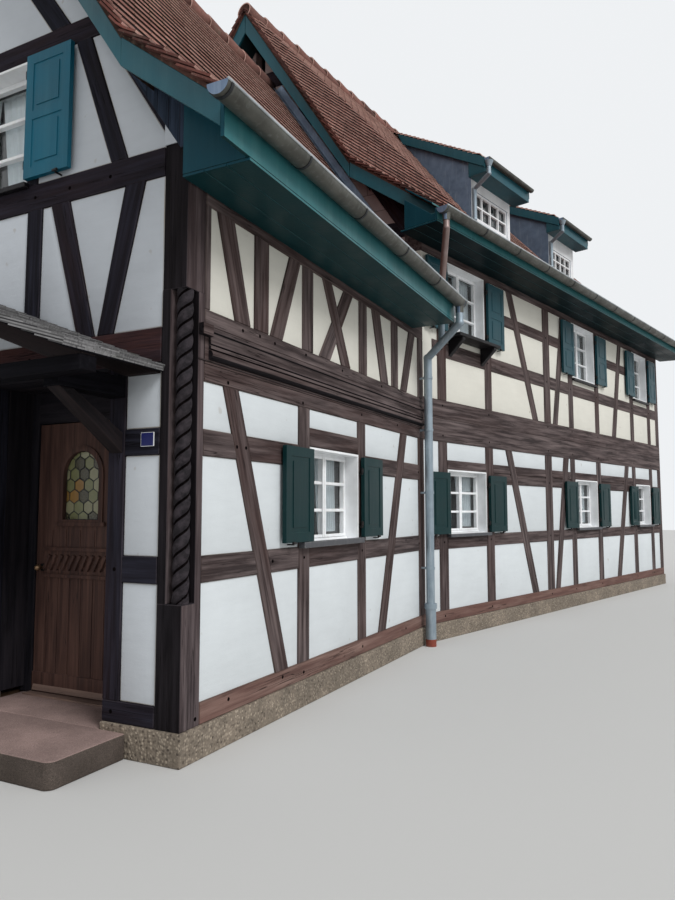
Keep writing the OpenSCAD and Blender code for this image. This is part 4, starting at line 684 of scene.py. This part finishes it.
red_oak = effect("red_oak", jointed_oak, Tone=0.3, Worn=0.0, Dark="301f1c", Light="644940",
                 Warm="5a382f", Rubbed="806254", Joint="0e0908")
door_oak = finish("door_oak", red_oak, 0.0015, 0.3, Tone=0.35)
tree = door_oak.node_tree
grain_in = next(n for n in tree.nodes if n.type == "GROUP").inputs["Vector"]
upright = put(tree, "Mapping", {"Vector": grain_in.links[0].from_socket, "Rotation": (0, math.pi / 2, 0)})
tree.links.new(upright.outputs[0], grain_in)
brass = metal("door_brass", "967a60", "685442", "baa082", 1.0, 0.0004)


def ironwork(face):
    """1 for the dark iron of hinges and rose, 2 for the knob, 0 for wood."""
    c = face.calc_center_median()
    if math.hypot(c.x - 0.52, c.y - 0.853) < 0.013 or c.x > 0.5103 and c.y < 0.93:
        return 1
    if math.hypot(c.y - 1.767, c.z - 1.15) < 0.031 and (c.x < 0.4595 or c.x > 0.5105):
        return 1 if 0.4505 < c.x < 0.5195 else 2
    return 0


leaf = picked(eased(copied("front_door"), 0.003, 2), ironwork)
piece("front_door_leaf", leaf, door_oak, wrought_iron, brass, body="door", node="front_door", smooth=True)
bar = bmesh.new()
for v in board(bar, near_wall, (0.434, 0.872, 0.188), (0.4596, 1.826, 0.25)):
    v.co.x += 0.016 * (v.co.z > 0.2 and v.co.x < 0.45)
piece("weather_bar", grained(eased(outward(bar), 0.004, 2, 0.6), "bar"), worn_oak, body="door",
      slot="red_wood")

# Leaded light of the door.
# Small hexagonal panes of yellow green glass, a few amber, sit in soldered lead strips. The
# net of strips is cut to the arch and set in the door's frame.
cell, plane, middle, spring, foot, head_r = 0.058, 0.484, 1.369, 1.882, 1.532, 0.1896
combs = bmesh.new()
for row in range(-1, 9):
    for column in range(-3, 4):
        y = middle + (column + (row % 2) / 2) * cell * math.sqrt(3)
        place = Matrix.Translation((plane, y, foot + 0.01 + row * cell * 1.5)) @ along_x
        bmesh.ops.create_circle(combs, cap_ends=True, segments=6, radius=cell,
                                matrix=place @ Matrix.Rotation(math.pi / 2, 4, "Z"))
bmesh.ops.remove_doubles(combs, verts=combs.verts, dist=1e-4)
cuts = [((0, middle + head_r, 0), (0, 1, 0)), ((0, middle - head_r, 0), (0, -1, 0)),
        ((0, 0, foot + 0.0008), (0, 0, -1))]
for k in range(13):
    y, z = math.cos(math.pi * k / 12), math.sin(math.pi * k / 12)
    cuts.append(((0, middle + head_r * y, spring + head_r * z), (0, y, z)))
for where, away in cuts:
    trimmed(combs, where, away, fill=False, snap=0.0)
bmesh.ops.delete(combs, geom=[f for f in combs.faces if f.calc_area() < 6e-5], context="FACES")
panes = combs.copy()
bmesh.ops.inset_individual(combs, faces=combs.faces, thickness=0.0042, depth=0.0)
inner = [f for f in combs.faces
         if all(not e.is_boundary for e in f.edges) and len(f.verts) != 4 or f.calc_area() > 6e-4]
bmesh.ops.delete(combs, geom=inner, context="FACES_ONLY")
bmesh.ops.solidify(combs, geom=outward(combs).faces, thickness=0.008)
shift = plane - sum(v.co.x for v in combs.verts) / len(combs.verts)
bmesh.ops.translate(combs, verts=combs.verts, vec=(shift, 0, 0))
old_lead = metal("window_lead", "1e1f21", "161616", "343638", 0.4)
piece("door_leads", outward(combs), old_lead, body="door", slot="leaded_glass")
rng = random.Random(6)
picked(panes, lambda f: rng.choice((0, 0, 0, 1, 1, 1, 3, 3, 2)))
bmesh.ops.split_edges(panes, edges=panes.edges)
for face in panes.faces:
    lean = Vector((0, rng.uniform(-1, 1), rng.uniform(-1, 1))) * 0.02
    for v in face.verts:
        v.co.x += lean.dot(v.co - face.calc_center_median())
bmesh.ops.solidify(panes, geom=outward(panes).faces, thickness=0.003)
tints = (("straw", "bab894"), ("green", "a0a274"), ("amber", "be9656"), ("smoky", "68644e"))
old_panes = [pane(kind + "_glass", shade(tint), 0.2, 0.001, 30.0, 0.55) for kind, tint in tints]
piece("door_panes", outward(panes), *old_panes, body="door", node="door_glass")

# Number plate.
# A blank blue enamel plate with a thin white border is pinned to the rail beside the corner.
plate = bmesh.new()
board(plate, gable_wall, (0.245, -0.0095, 2.028), (0.355, -0.001, 2.122))
front = [f for f in outward(plate).faces if f.normal.x < -0.9]
bmesh.ops.inset_region(plate, faces=front, thickness=0.004, depth=0.0)
for face in front:
    face.material_index = 1
bmesh.ops.inset_region(plate, faces=front, thickness=0.012, depth=0.0012)
border = paint("plate_border", white, old_white, rubbed_white, 0.1, 0.0002, coat=0.5)
enamel = paint("blue_enamel", "08145c", "1e2c6e", "3c4c82", 0.1, 0.0002, 0.3)
piece("number_plate", eased(plate, 0.0012, 2), border, enamel, slot="white_paint")

# Porch roof.
# Split shingles lie five deep on the two shallow slopes, each course lapping the last, so
# the eave and the ends show a stack of thin grey butts. Boards and oak arms carry them.


def split_shingle(tree, given):
    where = given["Vector"]
    patch = clouds(tree, where, 6.0, 5.0)
    fibre = clouds(tree, where, (90, 3, 40), 4.0, 0.6)
    colour = blended(tree, given["Tone"], given["Dark"], given["Light"])
    colour = tinted(tree, colour, ramped(tree, fibre, 0.3, 0.55, 0.7, 1.15))
    colour = blended(tree, ramped(tree, patch, 0.55, 0.0, 0.72, 0.55), colour, given["Moss"])
    return colour, ramped(tree, patch, 0.3, 0.8, 0.7, 0.95), fibre


grey_shingle = effect("grey_shingle", split_shingle, Tone=0.5, Dark="242326", Light="9e9d9e",
                      Moss="4e5248")
gable_wide = 4.4


def mirrored(verts):
    """Moves vertices to the other half of the near gable."""
    for v in verts:
        v.co.y = gable_wide - v.co.y


down = Matrix.Translation((0, 0.184, 2.517)) @ Matrix.Rotation(math.atan(0.385), 4, "X")
show, thick = 0.12, 0.0088
shingles = bmesh.new()
tone = shingles.faces.layers.float.new("tone")
rng = random.Random(21)
for side in (0, 1):
    for course in range(-4, 18):
        x = -0.85
        while x < -0.012:
            width = min(rng.uniform(0.09, 0.17), -0.002 - x)
            start = max(0.0, show * course) + rng.uniform(-0.004, 0.004) * (course >= 0)
            stop = min(show * course + 0.60, 2.155)
            slab = board(shingles, near_wall, (x + 0.002, start, -thick / 2),
                         (x + width - 0.002, stop, thick / 2))
            level = rng.uniform(0.25, 0.85)
            butt = rng.uniform(0.7, 1.0) if course % 2 else rng.uniform(0.0, 0.3)
            for face in {f for v in slab for f in v.link_faces}:
                face.normal_update()
                face[tone] = butt if abs(face.normal.x) > 0.9 else level
            for v in slab:
                v.co.z += 0.0496 - (v.co.y - show * course) * thick / show + rng.uniform(0, 0.0008)
            bmesh.ops.transform(shingles, matrix=down, verts=slab)
            if side:
                mirrored(slab)
            x += width
piece("porch_shingles", outward(shingles), finish("porch_shingle", grey_shingle, 0.003), node="porch_roof")
# The lining boards, beams and brackets under the porch roof are near black: painted shade.
porch_shade_oak = oak("porch_beam_shade_oak", "07080c", "1c1c21", "221b1d", "18171a", 0.004, 0.03)
lining = bmesh.new()
for course in range(14):
    start = 0.004 + course * 0.154
    for side in (0, 1):
        made = board(lining, down, (-0.84, start, 0.0), (-0.001, min(start + 0.15, 2.15), 0.012))
        if side:
            mirrored(made)
piece("porch_boards", grained(eased(outward(lining), 0.002), "porch boards"), porch_shade_oak, slot="dark_timber")
bracket_shade_oak = oak("bracket_shade_oak", "100f12", "2e2728", "342422", "2e2626", 0.004, 0.1)
bm = by_reach(grained(eased(copied("porch_frame"), 0.007, 2), "porch"), lambda reach: reach[2] < 0.3)
piece("porch_frame_timbers", bm, bracket_shade_oak, porch_shade_oak, node="porch_frame")

# Boarded eaves, verges and dormer trim.
# Planed boards in blue green paint: a lighter fascia, grooved soffits and box ends painted dark
# as shade, and deep barge boards whose paint has worn along the lower arris.
barge_paint = paint("barge_paint", "1a525e", "36626a", "34646c", 0.4, gloss=0.3)
fascia_paint = paint("fascia_paint", "327075", "5a8e8f", "689c9e", 0.35, gloss=0.4)
soffit_shade_paint = paint("soffit_shade_paint", "0e3438", "1c3e3f", "081e21", gloss=0.15)
end_shade_paint = paint("eave_end_shade_paint", "144654", "245660", "0c2c34", gloss=0.1)
shaded_soffit = paint("shaded_soffit_paint", "071b1f", "102629", "030e11", gloss=0.08)
piece("verge_boards_planed", eased(copied("verge_boards"), 0.004, 2), barge_paint, node="verge_boards")


def eave_side(face):
    """1 for the near soffit, 3 for the far one, 2 for the ends, all three painted as shade, and 0 for the fascia.
    """
    if face.normal.z < -0.3:
        return 3 if face.calc_center_median().z > 4.6 else 1
    return 2 if face.normal.x < -0.7 else 0


eaves = picked(eased(copied("eave_boxes"), 0.003), eave_side)
piece("eave_boxes_planed", eaves, fascia_paint, soffit_shade_paint, end_shade_paint, shaded_soffit, node="eave_boxes")
piece("dormer_boards_planed", eased(copied("dormer_boards"), 0.003), barge_paint, node="dormer_boards")

# Roof tiles.
# Clay tiles with rounded tails hang on battens in courses that break joint, browned by age and
# lichen. Each tail is painted light as a highlight and each tile's upper part darker as the
# shade under the next course. Longer, redder tiles reach over the barge boards, and their ends
# make a saw.


def fired_clay(tree, given):
    where = given["Vector"]
    fine = clouds(tree, where, 38.0, 4.0, 0.65)
    moss = ramped(tree, clouds(tree, where, 7.0, 6.0, 0.7), 0.56, 0.0, 0.66, 0.65)
    spots = ramped(tree, clouds(tree, where, 75.0, 2.0), 0.66, 0.0, 0.72, 0.5)
    browned = ramped(tree, clouds(tree, where, 0.9, 5.0, 0.6), 0.35, 0.0, 0.7, 0.55)
    colour = blended(tree, given["Tone"], given["Dark"], given["Light"])
    colour = blended(tree, browned, colour, given["Weather"])
    colour = tinted(tree, colour, ramped(tree, fine, 0.32, 0.7, 0.68, 1.12))
    colour = blended(tree, moss, colour, given["Lichen"])
    colour = blended(tree, spots, colour, given["Spots"])
    # Each tile's upper part, under the next course, is darkened: painted shade, with damp.
    lapped_shade = ramped(tree, given["Along"], 0.16, 0.0, 0.38, 1.0)
    colour = blended(tree, lapped_shade, colour, tinted(tree, colour, given["Damp"]))
    # Marked faces, the tile tails and hood rims, turn toward a near white butt colour: painted highlight.
    butt = blended(tree, given["Tone"], blended(tree, 0.5, given["Light"], given["Butt"]), given["Butt"])
    colour = blended(tree, times(tree, given["Worn"], ramped(tree, fine, 0.25, 0.5, 0.5, 1.0)), colour, butt)
    return colour, ramped(tree, fine, 0.3, 0.72, 0.7, 0.92), sums(tree, "ADD", fine, moss)


baked_clay = effect("baked_clay", fired_clay, Tone=0.5, Worn=0.0, Along=0.0, Damp="6c6161",
                    Dark="5c3832", Light="b07468", Weather="8c645a", Lichen="78665a",
                    Spots="b0aa98", Butt="fcd2c4")
tile_clay = finish("tile_clay", baked_clay, gloss=0.2)
# The boarding under the tiles is near black brown: painted shade in the gaps between the tiles.
bed_shade_clay = finish("tile_bed_shade", baked_clay, gloss=0.1, Dark="281e1a", Light="382a24", Tone=0.4)
verge_clay = finish("verge_clay", baked_clay, 0.002, 0.2, Dark="422724", Light="845047",
                    Weather="60423d", Lichen="6e5e56")
ridge_clay = finish("ridge_clay", baked_clay, gloss=0.2, Dark="543630", Light="96685e",
                    Weather="7a5e58")
soffit_boards = paint("verge_soffit", "243e42", "3a4e4e", "4e605e")
slopes = {}
# Each roof with the height above which its ridge lies and the plane at which its boarding ends.
for node, crest, end in (("near_roof", 7.45, -0.34), ("far_roof", 8.55, 4.305),
                         ("far_roof_rear", 8.55, 4.305), ("dormer_roofs", 8.55, -9)):
    bm = copied(node)
    loose = [v for group in members(bm) if min(v.co.z for v in group) > crest for v in group]
    bmesh.ops.delete(bm, geom=loose, context="VERTS")
    upper = bm.copy()
    sides = [f for f in upper.faces
             if f.normal.z < 0.3 or max(v.co.z for v in f.verts) - min(v.co.z for v in f.verts) < 0.05]
    bmesh.ops.delete(upper, geom=sides, context="FACES_ONLY")
    slopes[node] = BVHTree.FromBMesh(upper)
    upper.free()
    for v in bm.verts:
        v.co.x = max(v.co.x, end)
    piece(node + "_boarding", picked(bm, lambda f: f.normal.z < -0.3), bed_shade_clay, soffit_boards, node=node)


def pattern(bm, name):
    """Keeps a bmesh as the shape of which many copies are laid."""
    mesh = bpy.data.meshes.new(name)
    bm.to_mesh(mesh)
    bm.free()
    return mesh


def plain_tile(name, length, lift):
    """One flat tile with a rounded, lifted tail, whose butt faces are marked for the painted highlight. along
    grows from its tail to its head.
    """
    bm = bmesh.new()
    board(bm, near_wall, (-0.084, 0, 0.0015), (0.084, length, 0.0135))
    tails = [e for e in bm.edges
             if all(v.co.y < 0.001 for v in e.verts) and abs(e.verts[0].co.x - e.verts[1].co.x) > 0.1]
    bmesh.ops.subdivide_edges(bm, edges=tails, cuts=3, use_grid_fill=True)
    bm.verts.layers.float.new("tone")
    along = bm.verts.layers.float.new("along")
    worn = bm.faces.layers.float.new("worn")
    for v in bm.verts:
        v[along] = v.co.y / length
        if v.co.y < 0.001:
            v.co.y = 0.014 * (v.co.x / 0.084) ** 2
        v.co.z += lift * (1 - v.co.y / length)
    # The butt faces are marked for the painted highlight.
    for face in bm.faces:
        face[worn] = float(face.normal.y < -0.5)
    return pattern(bm, name)


near_gauge, far_gauge, tile_wide = 0.15, 0.108, 0.172
near_tile, far_tile = plain_tile("near_tile", 0.205, 0.030), plain_tile("far_tile", 0.148, 0.030)


def met(slope, x, y):
    """Where a slope lies under a point of the plan, and its normal there."""
    return slope.ray_cast(Vector((x, y, 12)), Vector((0, 0, -1)))[:2]


def seat(slope, x, y):
    """Where a tile's tail rests on a slope: a turn and a place, or nothing off the slope."""
    spot, normal = met(slope, x, y)
    if spot is None:
        return None
    up = (Vector((0, 0, 1)) - normal * normal.z).normalized()
    return Matrix.Translation(spot) @ Matrix((up.cross(normal), up, normal)).transposed().to_4x4()


def strewn(bm, shape, places, seed):
    """Lays copies of one shape at many places, each with its own tone and slight lean."""
    rng = random.Random(seed)
    home = [c for v in shape.vertices for c in v.co]
    for place in places:
        lean = Matrix.Rotation(rng.gauss(0, 0.006), 4, "Z") @ Matrix.Rotation(rng.gauss(0, 0.006), 4, "X")
        shape.transform(place @ lean)
        shape.attributes["tone"].data.foreach_set("value", [rng.random()] * len(shape.vertices))
        bm.from_mesh(shape, face_normals=False, vertex_normals=False)
        shape.vertices.foreach_set("co", home)
    bm.normal_update()


def coursed(slope, courses, first, last):
    """Seats for tiles in courses that break joint. A course gives the plan place at a distance along."""
    places = []
    for k, course in enumerate(courses):
        row, u = [], first - (k % 2) * tile_wide / 2
        while u < last:
            row.append(seat(slope, *course(u)))
            u += tile_wide
        row = [place for place in row if place]
        if row:
            places += row + [row[0] @ Matrix.Translation((-tile_wide, 0, 0)),
                             row[-1] @ Matrix.Translation((tile_wide, 0, 0))]
    return places


def steps(start, stop, pitch, gauge):
    """Plan distances of courses up a slope, whose pitch is its rise over its run."""
    count = max(1, round((stop - start) / (gauge * math.cos(math.atan(pitch)))))
    return [start + (stop - start) * k / count for k in range(count)]


bm = bmesh.new()
board(bm, near_wall, (0, 0, 0), (1, 1, 1))
trimmed(bm, (0, 0.35, 0), (0, 1, 0), clear=False, fill=False)
trimmed(bm, (0, 0.7, 0), (0, 1, 0), clear=False, fill=False)
bm.verts.layers.float.new("tone")
worn = bm.faces.layers.float.new("worn")
# The tail faces are marked for the painted highlight.
for face in bm.faces:
    face[worn] = 0.8 if max(v.co.y for v in face.verts) < 0.01 else 0.0
end_tile = pattern(bm, "end_tile")


def verged(bm, slope, x, knee, feet, gauge, slip=0.0):
    """End tiles over the barge board at x, one for each foot, bent a little where the slope changes."""
    top = feet[-1] + (feet[-1] - feet[-2]) * 0.9
    knee -= math.copysign(0.003, top - knee)
    foot_end, bent, ridge_end = (met(slope, x + 0.09, y)[0] for y in (feet[0], knee, top))
    lower, upper = bent - foot_end, ridge_end - bent
    rng = random.Random(len(feet))
    for foot in feet:
        low = abs(foot - feet[0]) < abs(knee - feet[0]) - 0.001
        base, run = (foot_end, lower) if low else (bent, upper)
        at = (foot - base.y) / run.y * run.length
        level, jut = rng.random(), rng.uniform(0, 0.008)
        before = len(bm.verts)
        bm.from_mesh(end_tile)
        bm.verts.ensure_lookup_table()
        tone = bm.verts.layers.float["tone"]
        for v in bm.verts[before:]:
            side, part, h = v.co
            s = at + part * 2.0 * gauge
            over = low and s > lower.length
            base, run = (bent, upper) if over or not low else (foot_end, lower)
            s = min(s - lower.length if over else s, run.length)
            way = run.normalized()
            rise = Vector((0, -way.z, way.y)) * (1 if way.y > 0 else -1)
            v.co = base + way * s + rise * (0.036 - part * 0.046 + 0.015 * h)
            v.co.x, v.co.y = x - jut + (0.068 + jut) * side, v.co.y + slip
            v[tone] = level
    outward(bm)


verge = bmesh.new()
near_feet = steps(-0.544, 0.29, 0.79, near_gauge) + steps(0.29, 2.115, 1.5105, near_gauge)
for name, flip in (("front", 1), ("back", -1)):
    laid, feet = bmesh.new(), [2.2 - flip * (2.2 - y) for y in near_feet]
    courses = [lambda u, y=y: (u, y) for y in feet]
    strewn(laid, near_tile, coursed(slopes["near_roof"], courses, -0.42, 4.7), name)
    verged(verge, slopes["near_roof"], -0.375, 2.2 - flip * 1.9, feet, near_gauge)
    trimmed(laid, (-0.303, 0, 0), (-1, 0, 0))
    trimmed(laid, (4.628, 0, 0), (1, 0, 0))
    trimmed(laid, (0, 2.2, 0), (0, flip, 0))
    piece("near_tiles_" + name, laid, tile_clay, slot="roof_tile")

# The far block's walls and ridge turn from the X axis by their own angles.
bend, turn_back, ridge_turn = math.radians(14.7), math.radians(3.14), math.radians(8.92)


def street_line(x, d):
    return -(x - 4.63) * math.tan(bend) + d / math.cos(bend)


def garden_line(x, d):
    return 4.9 - (x - 4.63) * math.tan(turn_back) - d / math.cos(turn_back)


def rising(line, d=0.74, part=0.0):
    """A course of the far roof: d metres in from the wall, and part of the way from there to the ridge."""
    def course(x):
        y = line(x, d)
        return x, y + part * (2.445 - (x - 4.63) * math.tan(ridge_turn) - y)
    return course


foot_steps = steps(-0.544, 0.73, 0.75, far_gauge)
for name, line, node, flip in (("front", street_line, "far_roof", 1),
                               ("back", garden_line, "far_roof_rear", -1)):
    laid = bmesh.new()
    courses = [rising(line, d) for d in foot_steps] + [rising(line, part=max(k, 0.1) / 30) for k in range(30)]
    strewn(laid, far_tile, coursed(slopes[node], courses, 4.1, 14.0), name)
    verged(verge, slopes[node], 4.272, line(4.362, 0.74), [course(4.362)[1] for course in courses], far_gauge,
           line(4.3, 0.74) - line(4.362, 0.74))
    trimmed(laid, (4.342, 0, 0), (-1, 0, 0))
    trimmed(laid, (13.874, 0, 0), (1, 0, 0))
    trimmed(laid, (4.63, 2.445, 0), (math.sin(ridge_turn) * flip, math.cos(ridge_turn) * flip, 0))
    piece("far_tiles_" + name, laid, tile_clay, slot="roof_tile")
piece("verge_tiles", verge, verge_clay, slot="roof_tile")

across = far_wall.col[0].xyz
for name, left, right, eave, pitch in (("first", 3.0, 4.38, 0.70, 0.589), ("second", 6.3, 7.55, 0.86, 0.51)):
    laid = bmesh.new()
    courses = [lambda u, n=n: (far_wall @ Vector((u, n, 0)))[:2]
               for n in steps(eave - 0.012, 3.2, pitch, far_gauge)]
    strewn(laid, far_tile, coursed(slopes["dormer_roofs"], courses, left - 0.005, right + 0.14), name)
    trimmed(laid, far_wall @ Vector((left - 0.115, 0, 0)), -across)
    trimmed(laid, far_wall @ Vector((right + 0.165, 0, 0)), across)
    piece("dormer_tiles_" + name, laid, tile_clay, slot="roof_tile")

# Ridge tiles.
# Round clay hoods, each narrower at its upper end and lapped by the next, are bedded in
# mortar along both ridges.
bm = bmesh.new()
bmesh.ops.create_cone(bm, cap_ends=False, segments=22, radius1=0.124, radius2=0.102, depth=0.42,
                      matrix=along_x)
trimmed(bm, (0, 0, -0.085), (0, 0, -1), fill=False)
bmesh.ops.solidify(bm, geom=outward(bm).faces, thickness=0.015)
outward(bm)
bm.verts.layers.float.new("tone")
worn = bm.faces.layers.float.new("worn")
# The front rims are marked for the painted highlight.
for face in bm.faces:
    face[worn] = 0.8 if face.normal.x < -0.8 else 0.0
    face.smooth = abs(face.normal.x) < 0.5
ridge_hood = pattern(bm, "ridge_hood")
near_ridge, lean, far_lean = Matrix.Translation((0, 2.2, 7.565)), -0.03, 0.07
places = [near_ridge @ Matrix.Translation((k * 0.372 - 0.165, 0, 0)) @ Matrix.Rotation(lean, 4, "Y")
          for k in range(13)]
far_ridge = Matrix.Translation((4.63, 2.445, 8.69)) @ Matrix.Rotation(-ridge_turn, 4, "Z")
places += [far_ridge @ Matrix.Translation((k * 0.371 - 0.14, 0, 0)) @ Matrix.Rotation(far_lean, 4, "Y")
           for k in range(26)]
hoods = bmesh.new()
strewn(hoods, ridge_hood, places, "ridge")
trimmed(hoods, (13.9, 0, 0), (1, 0, 0))
piece("ridge_tiles", hoods, ridge_clay, slot="roof_tile")
for shape in (near_tile, far_tile, end_tile, ridge_hood):
    bpy.data.meshes.remove(shape)

# Lead flashing.
# Sheet lead is dressed down over the near roof's tiles and turned up the far gable, where
# it is wedged into the wall in overlapping lengths.
lead_sheet = metal("lead_sheet", "92a2b8", "78889e", "aebcce", 0.5, 0.003)
flashing = bmesh.new()
run = Matrix.Translation((0, 0.3, 4.73)) @ Matrix.Rotation(math.atan(1.5105), 4, "X")
for k in range(5):
    start, stop, lap = k * 0.68, min(k * 0.68 + 0.72, 3.42), 0.002 * (k % 2)
    for side in (0, 1):
        made = board(flashing, run, (4.618 - lap, start, 0.02), (4.6295, stop, 0.14))
        made += board(flashing, run, (4.45, start, 0.042 + lap), (4.618, stop, 0.048 + lap))
        if side:
            mirrored(made)
piece("gable_flashing", eased(outward(flashing), 0.002, 2), lead_sheet, slot="slate_sheet")

# Dormer walls.
# Boards under blue grey sheet metal at the cheeks; the front about the window is painted white.
sheet_metal = metal("dormer_sheet", "7a8ea6", "546478", "a2b0be", 0.3, 0.002)
cheeks = picked(eased(copied("dormer_walls"), 0.004, 2), lambda f: f.normal.dot(far_wall.col[1].xyz) < -0.5)
piece("dormer_walls_clad", cheeks, sheet_metal, white_gloss, node="dormer_walls")

# Gutters and downpipe.
# Half round zinc gutters with a rolled bead hang in hooks from the fascia. The soldered zinc
# downpipe, clamped to the wall, takes a copper length from above and stands in a clay shoe.
zinc = metal("zinc_sheet", "5c5c56", "3e3d38", "767975", 0.55)
pipe_zinc = metal("pipe_zinc", "98a6b0", "7a8892", "b8c2c8", 0.5)
bead_highlight_zinc = metal("gutter_bead", "c4cace", "969ca0", "d8dcde", 0.4)
cap_sky_sheen = metal("gutter_cap_sheen", "70849e", "5c6e86", "92a2b6", 0.3)
hook_iron = metal("gutter_hooks", "222428", "1a1c1e", "3c3e42", 0.3)
copper = metal("copper_pipe", "8a7a76", "705c56", "a09694", 0.8)
clay_shoe = finish("clay_shoe", baked_clay, 0.001, Dark="80382a", Light="964636",
                   Weather="7c4436", Lichen="7a5a46", Tone=0.5)
bm = by_reach(copied("gutters"), lambda reach: math.hypot(*reach) < 0.22)
# Faces turned toward the gable, the end caps, take a lighter, bluer zinc: painted reflection of the sky.
picked(bm, lambda f: f.material_index or 2 * (f.normal.x < -0.9))
piece("gutters_soldered", bm, zinc, hook_iron, cap_sky_sheen, node="gutters", smooth=True)
# The rolled beads are a near white zinc: painted highlight along the gutters' front edge.
beads = bmesh.new()
for wall, start, stop, z in ((near_wall, -0.523, 4.25, 4.026), (far_wall, -0.473, 9.52, 5.13)):
    place = wall @ Matrix.Translation(((start + stop) / 2, -0.687, z)) @ along_x
    rod(beads, place, 0.009, 0.009, stop - start)
piece("gutter_beads", outward(beads), bead_highlight_zinc, slot="zinc", smooth=True)
tubes = bmesh.new()
for x, front, back, z, foot in ((2.89, 0.63, 0.96, 7.46, 6.53), (6.19, 0.79, 1.08, 7.52, 6.615)):
    path = [far_wall @ Vector(p) for p in ((x + 0.06, front, z - 0.05), (x + 0.06, front, z - 0.26),
                                           (x + 0.15, back, z - 0.4), (x + 0.15, back, foot))]
    for a, b, radius in zip(path, path[1:], (0.034, 0.038, 0.038)):
        place = Matrix.Translation((a + b) / 2) @ (b - a).to_track_quat("Z", "Y").to_matrix().to_4x4()
        rod(tubes, place, radius, 0.034, (b - a).length, 16)
        bmesh.ops.create_uvsphere(tubes, u_segments=16, v_segments=10, radius=0.039,
                                  matrix=Matrix.Translation(b))
    rod(tubes, Matrix.Translation(path[0] - Vector((0, 0, 0.04))), 0.04, 0.075, 0.09, 16)
piece("dormer_pipes", outward(tubes), pipe_zinc, slot="zinc", smooth=True)
bm = copied("downpipe")
shoe_top = 0.085
trimmed(bm, (0, 0, shoe_top), (0, 0, 1), clear=False, fill=False)
picked(bm, lambda f: 2 if max(v.co.z for v in f.verts) < shoe_top + 0.001
       else min(v.co.z for v in f.verts) > 4.05)
piece("downpipe_soldered", bm, pipe_zinc, copper, clay_shoe, node="downpipe", smooth=True)

# Floors.
# Broad boards, nailed down and left plain, are all that shows of the floors.
refinished("floors", oak("floor_boards", "3c2e24", "604c3a", "58402e", bump=0.003, gloss=0.1,
                         follow=None, Tone=0.3, Worn=0.0))

# Studio.
# A plain pale floor under a soft sky and one broad lamp, seen from the photograph's place.
scene = bpy.context.scene
ground = bmesh.new()
bmesh.ops.create_grid(ground, x_segments=1, y_segments=1, size=60)
studio_floor = bpy.data.objects.new("studio_floor", pattern(ground, "studio_floor"))
pale, tree = blank("pale_floor")
matt = put(tree, "BsdfPrincipled", {"Base Color": (0.62, 0.62, 0.61, 1), "Roughness": 0.9})
put(tree, "OutputMaterial", {"Surface": matt})
studio_floor.data.materials.append(pale)

scene.world = bpy.data.worlds.new("studio_sky")
scene.world.use_nodes = True
sky = scene.world.node_tree
sky.nodes.clear()
rays = put(sky, "LightPath").outputs
mirrored = sums(sky, "MAXIMUM", rays["Is Glossy Ray"], rays["Is Transmission Ray"])
seen = sums(sky, "MAXIMUM", rays["Is Camera Ray"], mirrored)
lit = put(sky, "Background", {"Color": (1, 1, 1, 1), "Strength": 0.55})
shown = put(sky, "Background", {"Color": (0.86, 0.88, 0.9, 1), "Strength": 1.0})
put(sky, "OutputWorld", {"Surface": put(sky, "MixShader", {0: seen, 1: lit, 2: shown})})
lamp = bpy.data.lights.new("broad_sun", "SUN")
lamp.energy = 1.8
lamp.angle = math.radians(24)
sun = bpy.data.objects.new("broad_sun", lamp)
sun.rotation_euler = Vector((0.4, 1.0, -1.0)).to_track_quat("-Z", "Y").to_euler()
scene.view_settings.view_transform = "Standard"

lens = bpy.data.cameras.new("photo_lens")
lens.lens = 28.234
lens.sensor_width = 36.0
lens.clip_end = 200.0
yaw, pitch, roll = math.radians(26.42), math.radians(4.915), math.radians(-0.073)
ahead = Vector((math.cos(yaw) * math.cos(pitch), math.sin(yaw) * math.cos(pitch), math.sin(pitch)))
level = Vector((math.sin(yaw), -math.cos(yaw), 0))
rise = level.cross(ahead)
right = math.cos(roll) * level + math.sin(roll) * rise
up = -math.sin(roll) * level + math.cos(roll) * rise
camera = bpy.data.objects.new("photo_camera", lens)
camera.matrix_world = (Matrix.Translation((-3.629, -2.912, 1.6))
                       @ Matrix((right, up, -ahead)).transposed().to_4x4())
for thing in (studio_floor, sun, camera):
    scene.collection.objects.link(thing)
scene.camera = camera
